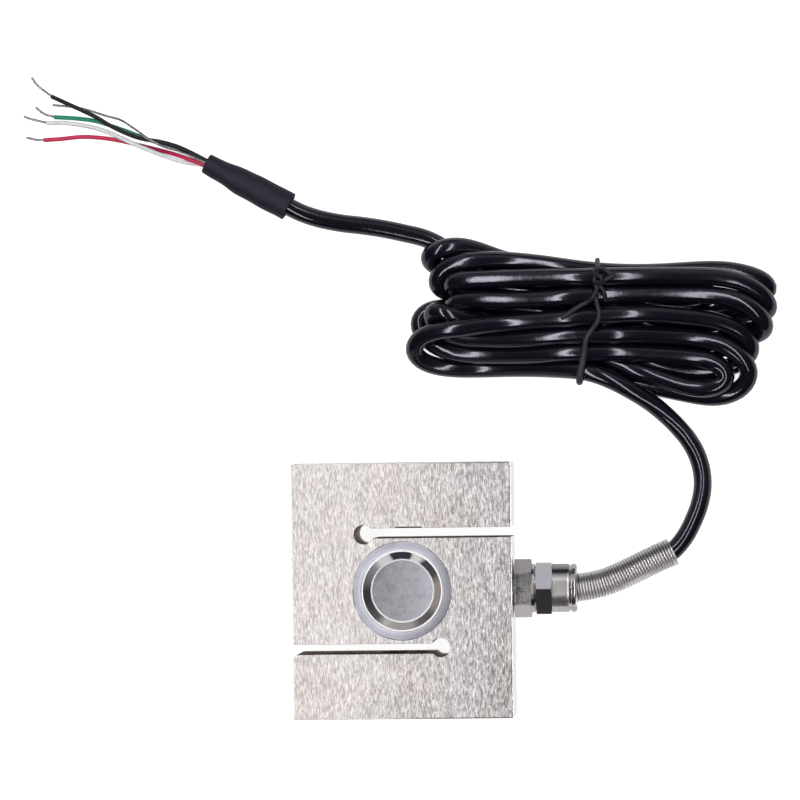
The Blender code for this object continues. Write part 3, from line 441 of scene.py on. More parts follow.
class Tree:
    """Adds the nodes of one tree."""

    def __init__(self, tree):
        self.tree = tree

    def node(self, kind, settings=None, inputs=None):
        """Add a node: its settings first, then the values or links of its sockets."""
        made = self.tree.nodes.new(kind)
        for name, value in (settings or {}).items():
            if name == "stops":
                self.set_stops(made.color_ramp, value)
            else:
                setattr(made, name, value)
        for name, value in (inputs or {}).items():
            self.feed(made.inputs[name], value)
        return made

    @staticmethod
    def set_stops(ramp, stops):
        """Give a ramp its stops, each a place and a grey or a colour."""
        while len(ramp.elements) > 1:
            ramp.elements.remove(ramp.elements[-1])
        for index, (place, value) in enumerate(stops):
            stop = ramp.elements[0] if index == 0 else ramp.elements.new(place)
            stop.position = place
            stop.color = (*value, 1.0) if isinstance(value, tuple) else (value, value, value, 1.0)

    def feed(self, socket, value):
        """Link or set one socket."""
        if isinstance(value, Value):
            value = value.socket
        if isinstance(value, bpy.types.NodeSocket):
            self.tree.links.new(value, socket)
        elif socket.type == "RGBA":
            socket.default_value = (*value[:3], 1.0)
        else:
            socket.default_value = value

    def value(self, socket):
        """Wrap a socket, so that operators work on it."""
        return Value(self, socket)

    def math(self, operation, *values):
        """A Math node."""
        node = self.node("ShaderNodeMath", {"operation": operation}, dict(enumerate(values)))
        return self.value(node.outputs[0])

    def vector(self, operation, *values, **scale):
        """A Vector Math node; Scale is named, because it isn't the second socket."""
        return self.node("ShaderNodeVectorMath", {"operation": operation},
                         {**dict(enumerate(values)), **scale}).outputs[0]


class Finish(Tree):
    """A procedural material that reads Object coordinates."""

    def __init__(self, name):
        self.material = bpy.data.materials.new(name)
        self.material.use_nodes = True
        super().__init__(self.material.node_tree)
        self.shader = self.tree.nodes["Principled BSDF"]
        self.place = self.node("ShaderNodeTexCoord").outputs["Object"]
        axes = self.node("ShaderNodeSeparateXYZ", inputs={0: self.place}).outputs
        self.x, self.y, self.z = (self.value(axis) for axis in axes)

    def out(self):
        """Distance from the Z axis."""
        return (self.x ** 2 + self.y ** 2) ** 0.5

    def noise(self, size, detail=3.0, roughness=0.6, distortion=0.0):
        """Noise whose grain has that size in metres, the same or one for each axis."""
        sizes = size if isinstance(size, tuple) else (size, size, size)
        scaled_place = self.node("ShaderNodeMapping", inputs={
            "Vector": self.place, "Scale": tuple(1.0 / one for one in sizes)})
        node = self.node("ShaderNodeTexNoise", inputs={
            "Vector": scaled_place.outputs[0], "Scale": 1.0, "Detail": detail, "Roughness": roughness,
            "Distortion": distortion})
        return self.value(node.outputs["Fac"])

    def specks(self, size):
        """Distance to the nearest of scattered points, in grains of that size."""
        node = self.node("ShaderNodeTexVoronoi", inputs={"Vector": self.place, "Scale": 1.0 / size})
        return self.value(node.outputs["Distance"])

    def ramp(self, factor, stops):
        """A colour ramp; its grey also serves as a number."""
        return self.node("ShaderNodeValToRGB", {"stops": stops}, {"Fac": factor}).outputs["Color"]

    def span(self, value, low, high):
        """How far a value has come from low to high, held between 0 and 1."""
        return ((value - low) / (high - low)).math("MINIMUM", 1.0).math("MAXIMUM", 0.0)

    def mix(self, factor, one, two, blend="MIX"):
        """A colour between two others."""
        return self.node("ShaderNodeMix", {"data_type": "RGBA", "blend_type": blend},
                         {"Factor": factor, 6: one, 7: two}).outputs[2]

    def mottle(self, factor, tone, one, two):
        """A colour that goes from one shade of itself to another."""
        return self.mix(factor, scaled(tone, one), scaled(tone, two))

    def tint(self, tone, shade, where):
        """A colour multiplied by another where a mask is 1."""
        return self.mix(where, tone, shade, "MULTIPLY")

    def bump(self, height, depth, strength):
        """Relief of that depth in metres, over what relief there is."""
        node = self.node("ShaderNodeBump", inputs={
            "Height": height, "Distance": depth, "Strength": strength})
        for link in self.shader.inputs["Normal"].links:
            self.feed(node.inputs["Normal"], link.from_socket)
        self.feed(self.shader.inputs["Normal"], node.outputs[0])

    def set(self, **inputs):
        """Set the shader's sockets, named with underscores, and return the material."""
        for name, value in inputs.items():
            self.feed(self.shader.inputs[name.replace("_", " ")], value)
        return self.material


# Finishes


def scaled(tone, factor):
    """A colour made darker or lighter."""
    return tuple(min(1.0, part * factor) for part in tone)


def brushed_nickel(settings):
    """Plated steel with short dull and bright streaks along the load axis."""
    made = Finish("brushed_nickel")
    fine = made.noise((0.00026, 0.0013, 0.00045), detail=4.0, roughness=0.7)
    broad = made.noise((0.0016, 0.0060, 0.0020), detail=2.0)
    cloud = made.noise(0.014, detail=2.0)

    def border(width):
        """Whether a point lies within that width of the beam's sides and ends."""
        return made.math("MAXIMUM", abs(made.x) > BEAM_HIGH.x - width, abs(made.y) > BEAM_HIGH.y - width)

    side = border(0.00012)
    face = abs(made.z - MID_DEPTH) > BEAM_HIGH.z - MID_DEPTH - 0.00030
    inside = (1.0 - side) * (1.0 - face)
    # How far towards the right-hand end, where the face is darker and streakier
    rightward = made.span(made.x - made.y * 0.12 + cloud * 0.012, -0.004, 0.040)
    streak = made.span(fine * 0.9 + broad * 0.1 - rightward * 0.026, 0.39, 0.61)
    tone = made.mix(streak, made.mottle(rightward, settings.dark, 1.0, 0.45), settings.light)
    tone = made.tint(tone, (0.95, 0.96, 0.98), rightward)
    # Darker along the face's outer edges, more so towards the right-hand end
    rim = border(0.00034) * (1.0 - side) * made.span(rightward + fine * 0.6, 0.50, 0.85)
    tone = made.mix(rim * 0.75, tone, settings.wall_brown)
    tone = made.tint(tone, (1.0, 0.965, 0.945), made.span(cloud, 0.35, 0.7))
    slot_top = settings.slot_centre + settings.slot_width / 2
    burr = face * made.span(made.y, slot_top - 0.0001, slot_top)
    burr = burr * (made.y < slot_top + fine * 0.0006) * (abs(made.x - 0.0017) < 0.0031)
    # Dark brown, mottled, on the walls inside the slots and bores
    wall_brown = made.mottle(made.span(broad * 0.6 + fine * 0.4, 0.35, 0.65), settings.wall_brown, 1.0, 2.6)
    tone = made.mix(inside, made.mix(side, tone, (0.93, 0.93, 0.93)), wall_brown)
    tone = made.mix(burr, tone, (0.035, 0.026, 0.026))
    made.bump(fine * 0.6 + broad * 0.4, 0.00004, 0.55)
    return made.set(Base_Color=tone, Metallic=1.0,
                    Roughness=settings.roughness + 0.10 - streak * 0.16 - side * 0.40)


def stamped_steel(settings):
    """Bright stamped steel, bluish on its floor, with painted reflections, highlight and shade."""
    made = Finish("stamped_steel")
    out = made.out()
    turn = made.math("ARCTAN2", made.y, made.x) / ROUND + 0.5
    flat = 1.0 - made.span(out, settings.floor - 0.00015, settings.floor - 0.00005)
    wall = made.span(out, settings.floor + 0.00014, settings.floor + 0.00026)
    edge = 1.0 - flat - wall
    wall = wall * (1.0 - made.span(out, settings.reach - 0.00016, settings.reach - 0.00006))
    haze = made.noise(0.0022, detail=4.0)
    grain = made.noise(0.00045)
    scratch = made.noise((0.0016, 0.00016, 0.001), detail=2.0, distortion=0.6)
    # Painted shade, darker towards the floor's left side
    lean = made.span(made.y * 0.4 - made.x, 0.001, 0.008) * -0.16
    floor = made.ramp(haze * 0.7 + grain * 0.3 + lean, [
        (place, scaled(settings.floor_tint, factor))
        for place, factor in ((0.25, 0.62), (0.50, 1.0), (0.80, 1.16))])
    # Painted reflections in light and dark bands round the drawn wall
    stain = made.ramp(turn + (haze - 0.5) * 0.03, PAINTED_WALL_REFLECTIONS)
    tone = made.mix(wall, made.mix(flat, settings.steel, floor), stain)
    # Painted highlight: a white ring where the floor rounds up into the wall
    tone = made.mix(edge, tone, (1.0, 1.0, 1.0))
    made.bump(scratch * flat * 0.5 + grain * flat * 0.5, 0.00001, 0.3)
    # The wall and the ring are less metallic, so that their painted light shows
    return made.set(Base_Color=tone, Metallic=1.0 - wall * 0.90 - edge * 0.80,
                    Roughness=0.46 - wall * 0.18 - flat * 0.14 + haze * flat * 0.04)


def sealant(settings):
    """Lilac-grey sealant, cloudy and darker towards the gland, with a few dark specks."""
    made = Finish("sealant")
    cloud = made.noise(0.004)
    speck = made.span(made.specks(0.0016), 0.045, 0.075)
    thin = made.span(made.out(), settings.sealant_inner + 0.0010, settings.sealant_inner) * 0.8
    tone = made.mottle(made.span(cloud, 0.3, 0.7) * 0.6 + thin, settings.sealant, 0.82, 1.20)
    tone = made.tint(tone, (0.48, 0.475, 0.48), made.span(made.x - made.y * 0.3, 0.001, 0.010))
    made.bump(made.noise(0.0007, detail=2.0), 0.00006, 0.5)
    return made.set(Base_Color=made.mix(speck, (0.10, 0.10, 0.12), tone), Roughness=0.26 + cloud * 0.14)


def plated_brass(settings):
    """Bright nickel plating, stained on the lower hexagon's front flat, with painted light and shade in
    bands.
    """
    made = Finish("nickel_plated_brass")
    cloud = made.noise(0.0022, detail=4.0)
    grit = made.noise(0.00042, detail=4.0, roughness=0.75)
    turning = made.noise((0.00009, 0.003, 0.003))
    sleeve_start = NUT_BACK + settings.upper_length
    groove = sleeve_start + settings.sleeve_length
    half = settings.sleeve
    high = abs(made.y)
    lower = made.x < WASHER_END + 0.0040
    front = (made.z > MID_DEPTH + 0.0052) * lower
    collar = (made.x > WASHER_END + 0.0037) * (made.x < NUT_BACK)
    upper = (made.x > NUT_BACK) * (made.x < sleeve_start)
    sleeve = (made.x > sleeve_start) * (made.x < groove)
    last = made.x > groove
    blot = front * made.span(cloud * 0.4 + grit * 0.6, 0.40, 0.58)
    # Painted light and shade in bands across the sleeve
    painted_sleeve_bands = [((y / 1000 / half + 1.0) / 2, grey / 2) for y, grey in PAINTED_SLEEVE_LIGHT]
    tone = made.mix(blot, settings.nickel, settings.stain)
    # Painted light and shade standing in for reflections, but for the first row: turning marks on the
    # sleeve
    for shade, where in (
        ((0.55, 0.54, 0.54), sleeve * made.span(turning, 0.45, 0.62) * 0.5),
        # Painted shade: the lower hexagon a little darker and warmer but for its front flat, and darker on
        # its upper half
        ((0.98, 0.93, 0.93), lower * (1.0 - front)),
        ((0.56, 0.57, 0.60), lower * made.span(made.y, -0.001, 0.003) * 0.8),
        # Painted light: the upper hexagon brighter, a little bluer on its lower half
        ((1.75, 1.75, 1.83), upper * (made.y > 0.0)),
        ((1.85, 1.85, 2.05), upper * (made.y < 0.0)),
        # Painted light and shade round the sleeve, in the bands above, and a painted highlight by the
        # groove
        ((2.0, 1.97, 1.97), sleeve),
        (made.ramp((made.y / half + 1.0) / 2, painted_sleeve_bands), sleeve),
        ((2.4, 2.4, 2.38), sleeve * (made.x > groove - 0.0004) * (high < 0.0038)),
        # Painted light past the groove, painted shade along its top and bottom and a painted highlight low
        # down
        ((1.25, 1.24, 1.24), last),
        ((0.66, 0.66, 0.69), last * (high > 0.0043)),
        ((1.6, 1.55, 1.52), last * made.span(made.y, -0.0016, -0.0024) * (made.y > -0.0039)),
        # Painted highlight across the collar
        ((2.0, 1.98, 1.95), collar * (made.y > -0.0012) * (made.y < 0.0038)),
    ):
        tone = made.tint(tone, shade, where)
    made.bump(turning * (0.4 + sleeve * 6.0) + grit * front, 0.000012, 0.5)
    return made.set(Base_Color=tone, Metallic=1.0,
                    Roughness=0.15 + cloud * 0.08 + blot * 0.25 + sleeve * 0.10)


def tinned_copper(tone):
    """Drawn wire: plain bright metal, a little uneven in its gloss."""
    made = Finish("tinned_copper")
    grain = made.noise(0.0004)
    return made.set(Base_Color=made.mottle(grain, tone, 0.85, 1.0), Metallic=1.0,
                    Roughness=0.26 + grain * 0.10)


def spring_steel(settings):
    """Plated spring wire, dull enough to look evenly bright but for a painted dark band of shade along its
    far side.
    """
    made = Finish("spring_steel")
    grain = made.noise(0.0004)
    reach, rise = SPRING_ROUTE[-1]
    middle = made.ramp((made.x - NUT_MOUTH) / (reach / 1000),
                       [(x / reach, y / rise) for x, y in SPRING_ROUTE])
    off = (made.y - made.value(middle) * (rise / 1000)) / settings.radius
    # Painted shade: a dark band along the spring's far side
    painted_shade_band = made.span(off, 0.22, 0.42) * (1.0 - made.span(off, 0.62, 0.85))
    tone = made.mottle(grain, settings.steel, 0.88, 1.0)
    return made.set(Base_Color=made.tint(tone, (0.26, 0.26, 0.28), painted_shade_band * 0.85), Metallic=0.55,
                    Roughness=0.26 + grain * 0.06)


def glossy_jacket(name, tone, roughness, shine, wave=0.0012, depth=0.00003, crown=0.0):
    """Extruded plastic with a faint waviness that breaks up the light, and a crown at the hank's waist."""
    made = Finish(name)
    slow = made.noise(wave, detail=2.0)
    skin = made.noise(0.00045)
    made.bump(slow * 0.8 + skin * 0.2, depth, 0.6)
    if crown:
        turn = ((made.x - CROWN_PLACE) / CROWN_REACH).math("MINIMUM", 1.0).math("MAXIMUM", -1.0) * math.pi
        made.bump(turn.math("COSINE"), crown * CROWN_REACH / math.pi, made.span(made.y, 0.043, 0.050))
    return made.set(Base_Color=made.mottle(slow, tone, 0.75, 1.2), Roughness=roughness + skin * 0.08,
                    Specular_IOR_Level=shine, Specular_Tint=(0.86, 0.87, 1.0))


def shrink_tubing(settings):
    """Matt tubing with fine creases across it."""
    made = Finish("shrink_tubing")
    crease = made.noise((0.0016, 0.0030, 0.0016))
    skin = made.noise(0.00030, detail=2.0)
    made.bump(crease * 0.7 + skin * 0.3, 0.00010, 0.6)
    return made.set(Base_Color=made.mottle(crease, settings.sleeve, 0.8, 1.25),
                    Roughness=0.46 + skin * 0.16, Specular_IOR_Level=0.25)


def tie_coating(settings):
    """The tie's matt coating, blacker where it is knotted."""
    made = Finish("tie_coating")
    cloud = made.noise(0.0005)
    tone = made.mottle(cloud, settings.tie, 0.8, 1.2)
    made.bump(cloud, 0.00002, 0.4)
    return made.set(Base_Color=made.tint(tone, (0.42, 0.42, 0.44), made.span(made.y, 0.061, 0.068)),
                    Roughness=0.50, Specular_IOR_Level=0.35)


def plain_finish(name, tone, roughness, metallic=0.0):
    """A finish with a little variation, for what lies hidden."""
    made = Finish(name)
    cloud = made.noise(0.0006)
    made.bump(cloud, 0.00002, 0.4)
    return made.set(Base_Color=made.mottle(cloud, tone, 0.8, 1.15), Metallic=metallic,
                    Roughness=roughness - 0.05 + cloud * 0.1)


# Meshes


def add_object(name, data):
    """Put a mesh, curve, lamp or camera into the scene."""
    item = bpy.data.objects.new(name, data)
    bpy.context.scene.collection.objects.link(item)
    return item


def smooth(mesh, sharp):
    """Shade a mesh smooth, but for edges that turn by more than that many degrees."""
    mesh.shade_smooth()
    mesh.set_sharp_from_angle(angle=math.radians(sharp))


def add_mesh(name, vertices, faces, sharp=35.0):
    """A mesh object at the origin with its faces outwards."""
    mesh = bpy.data.meshes.new(name)
    mesh.from_pydata(vertices, [], faces)
    work = bmesh.new()
    work.from_mesh(mesh)
    bmesh.ops.remove_doubles(work, verts=work.verts, dist=0.000001)
    bmesh.ops.recalc_face_normals(work, faces=work.faces)
    work.to_mesh(mesh)
    work.free()
    smooth(mesh, sharp)
    return add_object(name, mesh)


def bake(item, sharp=None):
    """Turn an object with modifiers into a plain mesh at the origin."""
    graph = bpy.context.evaluated_depsgraph_get()
    graph.update()
    mesh = bpy.data.meshes.new_from_object(item.evaluated_get(graph), depsgraph=graph)
    mesh.transform(item.matrix_world)
    name = item.name
    bpy.data.objects.remove(item, do_unlink=True)
    if sharp is not None:
        smooth(mesh, sharp)
    return add_object(name, mesh)


def rounded(points):
    """Round the corners of a (radius, height, rounding) profile and return (radius, height, 0) rows."""
    rows = []
    for index, (radius, height, corner) in enumerate(points):
        here = Vector((radius, height))
        if not corner or index in (0, len(points) - 1):
            rows.append((radius, height, 0.0))
            continue
        before = (Vector(points[index - 1][:2]) - here).normalized()
        after = (Vector(points[index + 1][:2]) - here).normalized()
        half = before.angle(after) / 2
        middle = here + (before + after).normalized() * corner / math.sin(half)
        start = here + before * corner / math.tan(half) - middle
        sweep = start.angle_signed(here + after * corner / math.tan(half) - middle)
        for step in range(CORNER_STEPS + 1):
            x, y = middle + Matrix.Rotation(-sweep * step / CORNER_STEPS, 2) @ start
            rows.append((x, y, 0.0))
    return rows


def join_rings(rings, closed):
    """Faces between rings of vertex numbers; a ring may be a single point."""
    faces = []
    for one, two in zip(rings, rings[1:] + (rings[:1] if closed else [])):
        for step in range(max(len(one), len(two))):
            ends = ((one, step), (one, step + 1), (two, step + 1), (two, step))
            corners = list(dict.fromkeys(ring[at % len(ring)] for ring, at in ends))
            if len(corners) > 2:
                faces.append(corners)
    return faces


def turned(name, rows, closed=True, turn=0.0, steps=SMOOTH_STEPS, sharp=35.0):
    """Turn rows of (radius, height, flats) about Z. A row with flats is a hexagon cut off at its radius."""
    vertices = []
    rings = []
    for radius, height, flats in rows:
        first = len(vertices)
        for step in range(steps if radius > 0.0 else 1):
            angle = ROUND * step / steps
            reach = radius
            if flats:
                reach = min(radius, flats / 2 / math.cos((angle - turn) % (math.pi / 3) - math.pi / 6))
            vertices.append((reach * math.cos(angle), reach * math.sin(angle), height))
        rings.append(list(range(first, len(vertices))))
    return add_mesh(name, vertices, join_rings(rings, closed), sharp)


def along_x(item):
    """Turn a turned shape's Z towards X, on the gland's axis."""
    item.data.transform(Matrix.Translation((0.0, 0.0, MID_DEPTH)) @ Matrix.Rotation(math.pi / 2, 4, "Y"))
    return item


def hexagon_rows(start, end, flats, chamfer):
    """Rows of a hexagon bar, chamfered at both ends."""
    low = flats / 2 + CHAMFER_LAND
    corner = flats / 2 / math.cos(math.pi / 6)
    parts = [step / CHAMFER_STEPS for step in range(CHAMFER_STEPS + 1)]
    rows = [(low + (corner - low) * part, start + chamfer * part, flats) for part in parts]
    return rows + [(low + (corner - low) * part, end - chamfer * part, flats) for part in reversed(parts)]


def dress(piece, material, nodes=()):
    """Give a piece its material and its body, and hide the CAD nodes that it stands for."""
    if material is not None:
        piece.data.materials.clear()
        piece.data.materials.append(material)
    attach(piece, BODY)
    if nodes:
        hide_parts(*nodes)
    return piece


# Lines and cords


def from_mouth(x, y, z=0.0):
    """A point given in millimetres from the nut's mouth, at its own height in metres."""
    return (NUT_MOUTH + x / 1000, y / 1000, z)


def distances(line):
    """How far along a line of points each of them lies."""
    return np.concatenate([[0.0], np.cumsum(np.linalg.norm(np.diff(line[:, :3], axis=0), axis=1))])


def line_length(line):
    """Length of a line of points."""
    return float(np.linalg.norm(np.diff(line[:, :3], axis=0), axis=1).sum())


def smooth_line(points, spacing):
    """A smooth line through points, at an even spacing."""
    knots = np.array(points, float)
    knots = np.vstack([2 * knots[0] - knots[1], knots, 2 * knots[-1] - knots[-2]])
    a, b, c, d = (knots[index:len(knots) - 3 + index, None] for index in range(4))
    t = (np.arange(LINE_FINENESS) / LINE_FINENESS)[None, :, None]
    fine = 0.5 * (2 * b + (c - a) * t + (2 * a - 5 * b + 4 * c - d) * t ** 2
                  + (3 * b - a - 3 * c + d) * t ** 3)
    line = np.vstack([fine.reshape(-1, knots.shape[1]), knots[-2]])
    along = distances(line)
    at = np.linspace(0.0, along[-1], max(2, round(along[-1] / spacing)) + 1)
    return np.stack([np.interp(at, along, column) for column in line.T], axis=1)


def cord_curve(name, line, radius, resolution):
    """A round cord as one open spline."""
    curve = bpy.data.curves.new(name, "CURVE")
    curve.dimensions = "3D"
    curve.bevel_depth = radius
    curve.bevel_resolution = resolution
    curve.use_fill_caps = True
    spline = curve.splines.new("POLY")
    spline.points.add(len(line) - 1)
    for point, place in zip(spline.points, line):
        point.co = (*place[:3], 1.0)
    spline.use_smooth = True
    return add_object(name, curve)


def coil_tree():
    """A geometry tree that winds strands round a line: a spring, a thread's ridge or a twisted wire."""
    found = bpy.data.node_groups.get("Coil along a line")
    if found:
        return found
    group = bpy.data.node_groups.new("Coil along a line", "GeometryNodeTree")
    for name, way, kind in (
        ("Line", "INPUT", "NodeSocketGeometry"), ("Turns", "INPUT", "NodeSocketFloat"),
        ("Coil Radius", "INPUT", "NodeSocketFloat"), ("Wire Radius", "INPUT", "NodeSocketFloat"),
        ("Strands", "INPUT", "NodeSocketInt"), ("Points", "INPUT", "NodeSocketInt"),
        ("Sides", "INPUT", "NodeSocketInt"), ("Finish", "INPUT", "NodeSocketMaterial"),
        ("Coil", "OUTPUT", "NodeSocketGeometry"),
    ):
        group.interface.new_socket(name, in_out=way, socket_type=kind)
    tree = Tree(group)
    given = tree.node("NodeGroupInput").outputs

    def add(kind, settings=None, **inputs):
        """A node's first output, its sockets named with underscores."""
        named = {name.replace("_", " "): value for name, value in inputs.items()}
        return tree.node(kind, settings, named).outputs[0]

    curve = add("GeometryNodeMeshToCurve", Mesh=given["Line"])
    even = add("GeometryNodeResampleCurve", Curve=curve, Count=given["Points"])
    copies = tree.node("GeometryNodeDuplicateElements", {"domain": "SPLINE"}, {
        "Geometry": even, "Amount": given["Strands"]}).outputs
    factor = tree.value(tree.node("GeometryNodeSplineParameter").outputs["Factor"])
    strand = tree.value(copies["Duplicate Index"]) / tree.value(given["Strands"])
    angle = factor * tree.value(given["Turns"]) * ROUND + strand * ROUND
    along = add("GeometryNodeInputTangent")
    normal = add("GeometryNodeInputNormal")
    aside = tree.vector("CROSS_PRODUCT", along, normal)
    outward = tree.vector("ADD", tree.vector("SCALE", normal, Scale=angle.math("COSINE")),
                          tree.vector("SCALE", aside, Scale=angle.math("SINE")))
    marked = add("GeometryNodeStoreNamedAttribute", {"data_type": "FLOAT_VECTOR", "domain": "POINT"},
                 Geometry=copies["Geometry"], Name="outward", Value=outward)
    kept = add("GeometryNodeInputNamedAttribute", {"data_type": "FLOAT_VECTOR"}, Name="outward")
    offset = tree.vector("SCALE", outward, Scale=given["Coil Radius"])
    moved = add("GeometryNodeSetPosition", Geometry=marked, Offset=offset)
    freed = add("GeometryNodeSetCurveNormal", {"mode": "FREE"}, Curve=moved, Normal=kept)
    profile = add("GeometryNodeCurvePrimitiveCircle", {"mode": "RADIUS"}, Resolution=given["Sides"],
                  Radius=given["Wire Radius"])
    swept = add("GeometryNodeCurveToMesh", Curve=freed, Profile_Curve=profile, Fill_Caps=True)
    whole = add("GeometryNodeRealizeInstances", Geometry=swept)
    coated = add("GeometryNodeSetMaterial", Geometry=whole, Material=given["Finish"])
    tree.node("NodeGroupOutput", inputs={"Coil": coated})
    return group


def coil(name, line, material, turns, coil_radius, wire_radius, points, sides, sharp, strands=1):
    """Wind strands round a line and return the plain mesh."""
    mesh = bpy.data.meshes.new(name)
    edges = [(index, index + 1) for index in range(len(line) - 1)]
    mesh.from_pydata([tuple(point) for point in line], edges, [])
    host = add_object(name, mesh)
    modifier = host.modifiers.new("coil", "NODES")
    modifier.node_group = coil_tree()
    given = {"Turns": float(turns), "Coil Radius": coil_radius, "Wire Radius": wire_radius,
             "Strands": strands, "Points": points, "Sides": sides, "Finish": material}
    for socket in modifier.node_group.interface.items_tree:
        if socket.name in given:
            modifier[socket.identifier] = given[socket.name]
    return bake(host, sharp)


# The beam


def arc(centre, radius, start, sweep, steps):
    """Points on an arc, both ends included."""
    angles = [start + sweep * step / steps for step in range(steps + 1)]
    return [(centre[0] + radius * math.cos(a), centre[1] + radius * math.sin(a)) for a in angles]


def slot_outline(beam, mouth_round):
    """The upper slot's edge, in from the right side, round its end hole and out again."""
    lower = beam.slot_centre - beam.slot_width / 2
    upper = beam.slot_centre + beam.slot_width / 2
    first, last = (math.asin((edge - beam.hole_y) / beam.hole_radius) for edge in (lower, upper))
    points = [(BEAM_HIGH.x, lower)]
    points += arc((-beam.hole_x, beam.hole_y), beam.hole_radius, first, last - first - ROUND, 48)
    if mouth_round:
        corner = (BEAM_HIGH.x - mouth_round, upper + mouth_round)
        return points + arc(corner, mouth_round, -math.pi / 2, math.pi / 2, 8)
    return points + [(BEAM_HIGH.x, upper)]


def beam_block(beam):
    """The S-shaped block with its broken edges, before its bores."""
    upper = slot_outline(beam, 0.0)
    lower = [(-x, -y) for x, y in slot_outline(beam, beam.mouth_round)]
    outline = [(BEAM_LOW.x, BEAM_LOW.y), (BEAM_HIGH.x, BEAM_LOW.y), *upper,
               (BEAM_HIGH.x, BEAM_HIGH.y), (BEAM_LOW.x, BEAM_HIGH.y), *lower]
    work = bmesh.new()
    face = work.faces.new([work.verts.new((x, y, BEAM_LOW.z)) for x, y in outline])
    raised = bmesh.ops.extrude_face_region(work, geom=[face])["geom"]
    lift = Vector((0.0, 0.0, BEAM_HIGH.z - BEAM_LOW.z))
    bmesh.ops.translate(work, vec=lift, verts=[v for v in raised if isinstance(v, bmesh.types.BMVert)])
    bmesh.ops.recalc_face_normals(work, faces=work.faces)
    edges = [edge for edge in work.edges if edge.calc_face_angle(0.0) > math.radians(40.0)]
    bmesh.ops.bevel(work, geom=edges, offset=beam.edge, segments=2, profile=0.6, affect="EDGES",
                    clamp_overlap=True)
    mesh = bpy.data.meshes.new("s_beam_dressed")
    work.to_mesh(mesh)
    work.free()
    return add_object("s_beam_dressed", mesh)


def beam_cutters(beam):
    """Gauge bore with its counterbores, the two threads at their major size, and the side port."""
    half = MID_DEPTH + CUT_OVER
    ledge = MID_DEPTH - beam.counterbore_depth
    end = BEAM_HIGH.y
    mouth = beam.thread_minor + beam.countersink
    over = BEAM_HIGH.x + CUT_OVER
    port_floor = BODY_BACK - GAP
    bore = ((0.0, half), (beam.counterbore, half), (beam.counterbore, ledge), (beam.bore, ledge),
            (beam.bore, -ledge), (beam.counterbore, -ledge), (beam.counterbore, -half), (0.0, -half))
    thread = ((0.0, end + CUT_OVER), (mouth + CUT_OVER, end + CUT_OVER),
              (beam.thread_major, end - mouth + beam.thread_major), (beam.thread_major, beam.slot_centre),
              (0.0, beam.slot_centre))
    port = ((0.0, over), (PORT_RADIUS, over), (PORT_RADIUS, port_floor), (PASSAGE_RADIUS, port_floor),
            (PASSAGE_RADIUS, beam.bore / 2), (0.0, beam.bore / 2))
    cutters = []
    for rows, turn, axis in ((bore, 0.0, "X"), (thread, -math.pi / 2, "X"), (thread, math.pi / 2, "X"),
                             (port, math.pi / 2, "Y")):
        cutter = turned("cutter", [(*row, 0) for row in rows], closed=False)
        cutter.data.transform(Matrix.Translation((0.0, 0.0, MID_DEPTH)) @ Matrix.Rotation(turn, 4, axis))
        cutters.append(cutter)
    return cutters


class LOADCELL_OT_beam(bpy.types.Operator):
    """Make the milled beam and its M12 threads."""

    bl_idname = "loadcell.beam"
    bl_label = "S-beam"

    def execute(self, context):
        beam = context.scene.loadcell_beam
        finish = brushed_nickel(beam)
        block = beam_block(beam)
        cutters = beam_cutters(beam)
        for cutter in cutters:
            cut = block.modifiers.new(cutter.name, "BOOLEAN")
            cut.object = cutter
            cut.solver = "EXACT"
        solid = bake(block, 40.0)
        for cutter in cutters:
            bpy.data.objects.remove(cutter, do_unlink=True)
        weighted = solid.modifiers.new("flat faces", "WEIGHTED_NORMAL")
        weighted.keep_sharp = True
        weighted.weight = 100
        dress(bake(solid), finish, ["s_beam"])

        inner = beam.slot_centre + beam.slot_width / 2 + beam.thread_pitch / 2
        outer = BEAM_HIGH.y - beam.countersink - beam.thread_pitch / 4
        depth = beam.thread_major - beam.thread_minor
        for side, name in ((1, "top_thread"), (-1, "bottom_thread")):
            line = [(0.0, side * inner, MID_DEPTH), (0.0, side * outer, MID_DEPTH)]
            ridge = coil(name, line, finish, (outer - inner) / beam.thread_pitch,
                         beam.thread_minor + depth / 2, depth * 0.72, points=420, sides=4, sharp=30.0)
            dress(ridge, None)
        return {"FINISHED"}


# Covers and sealant


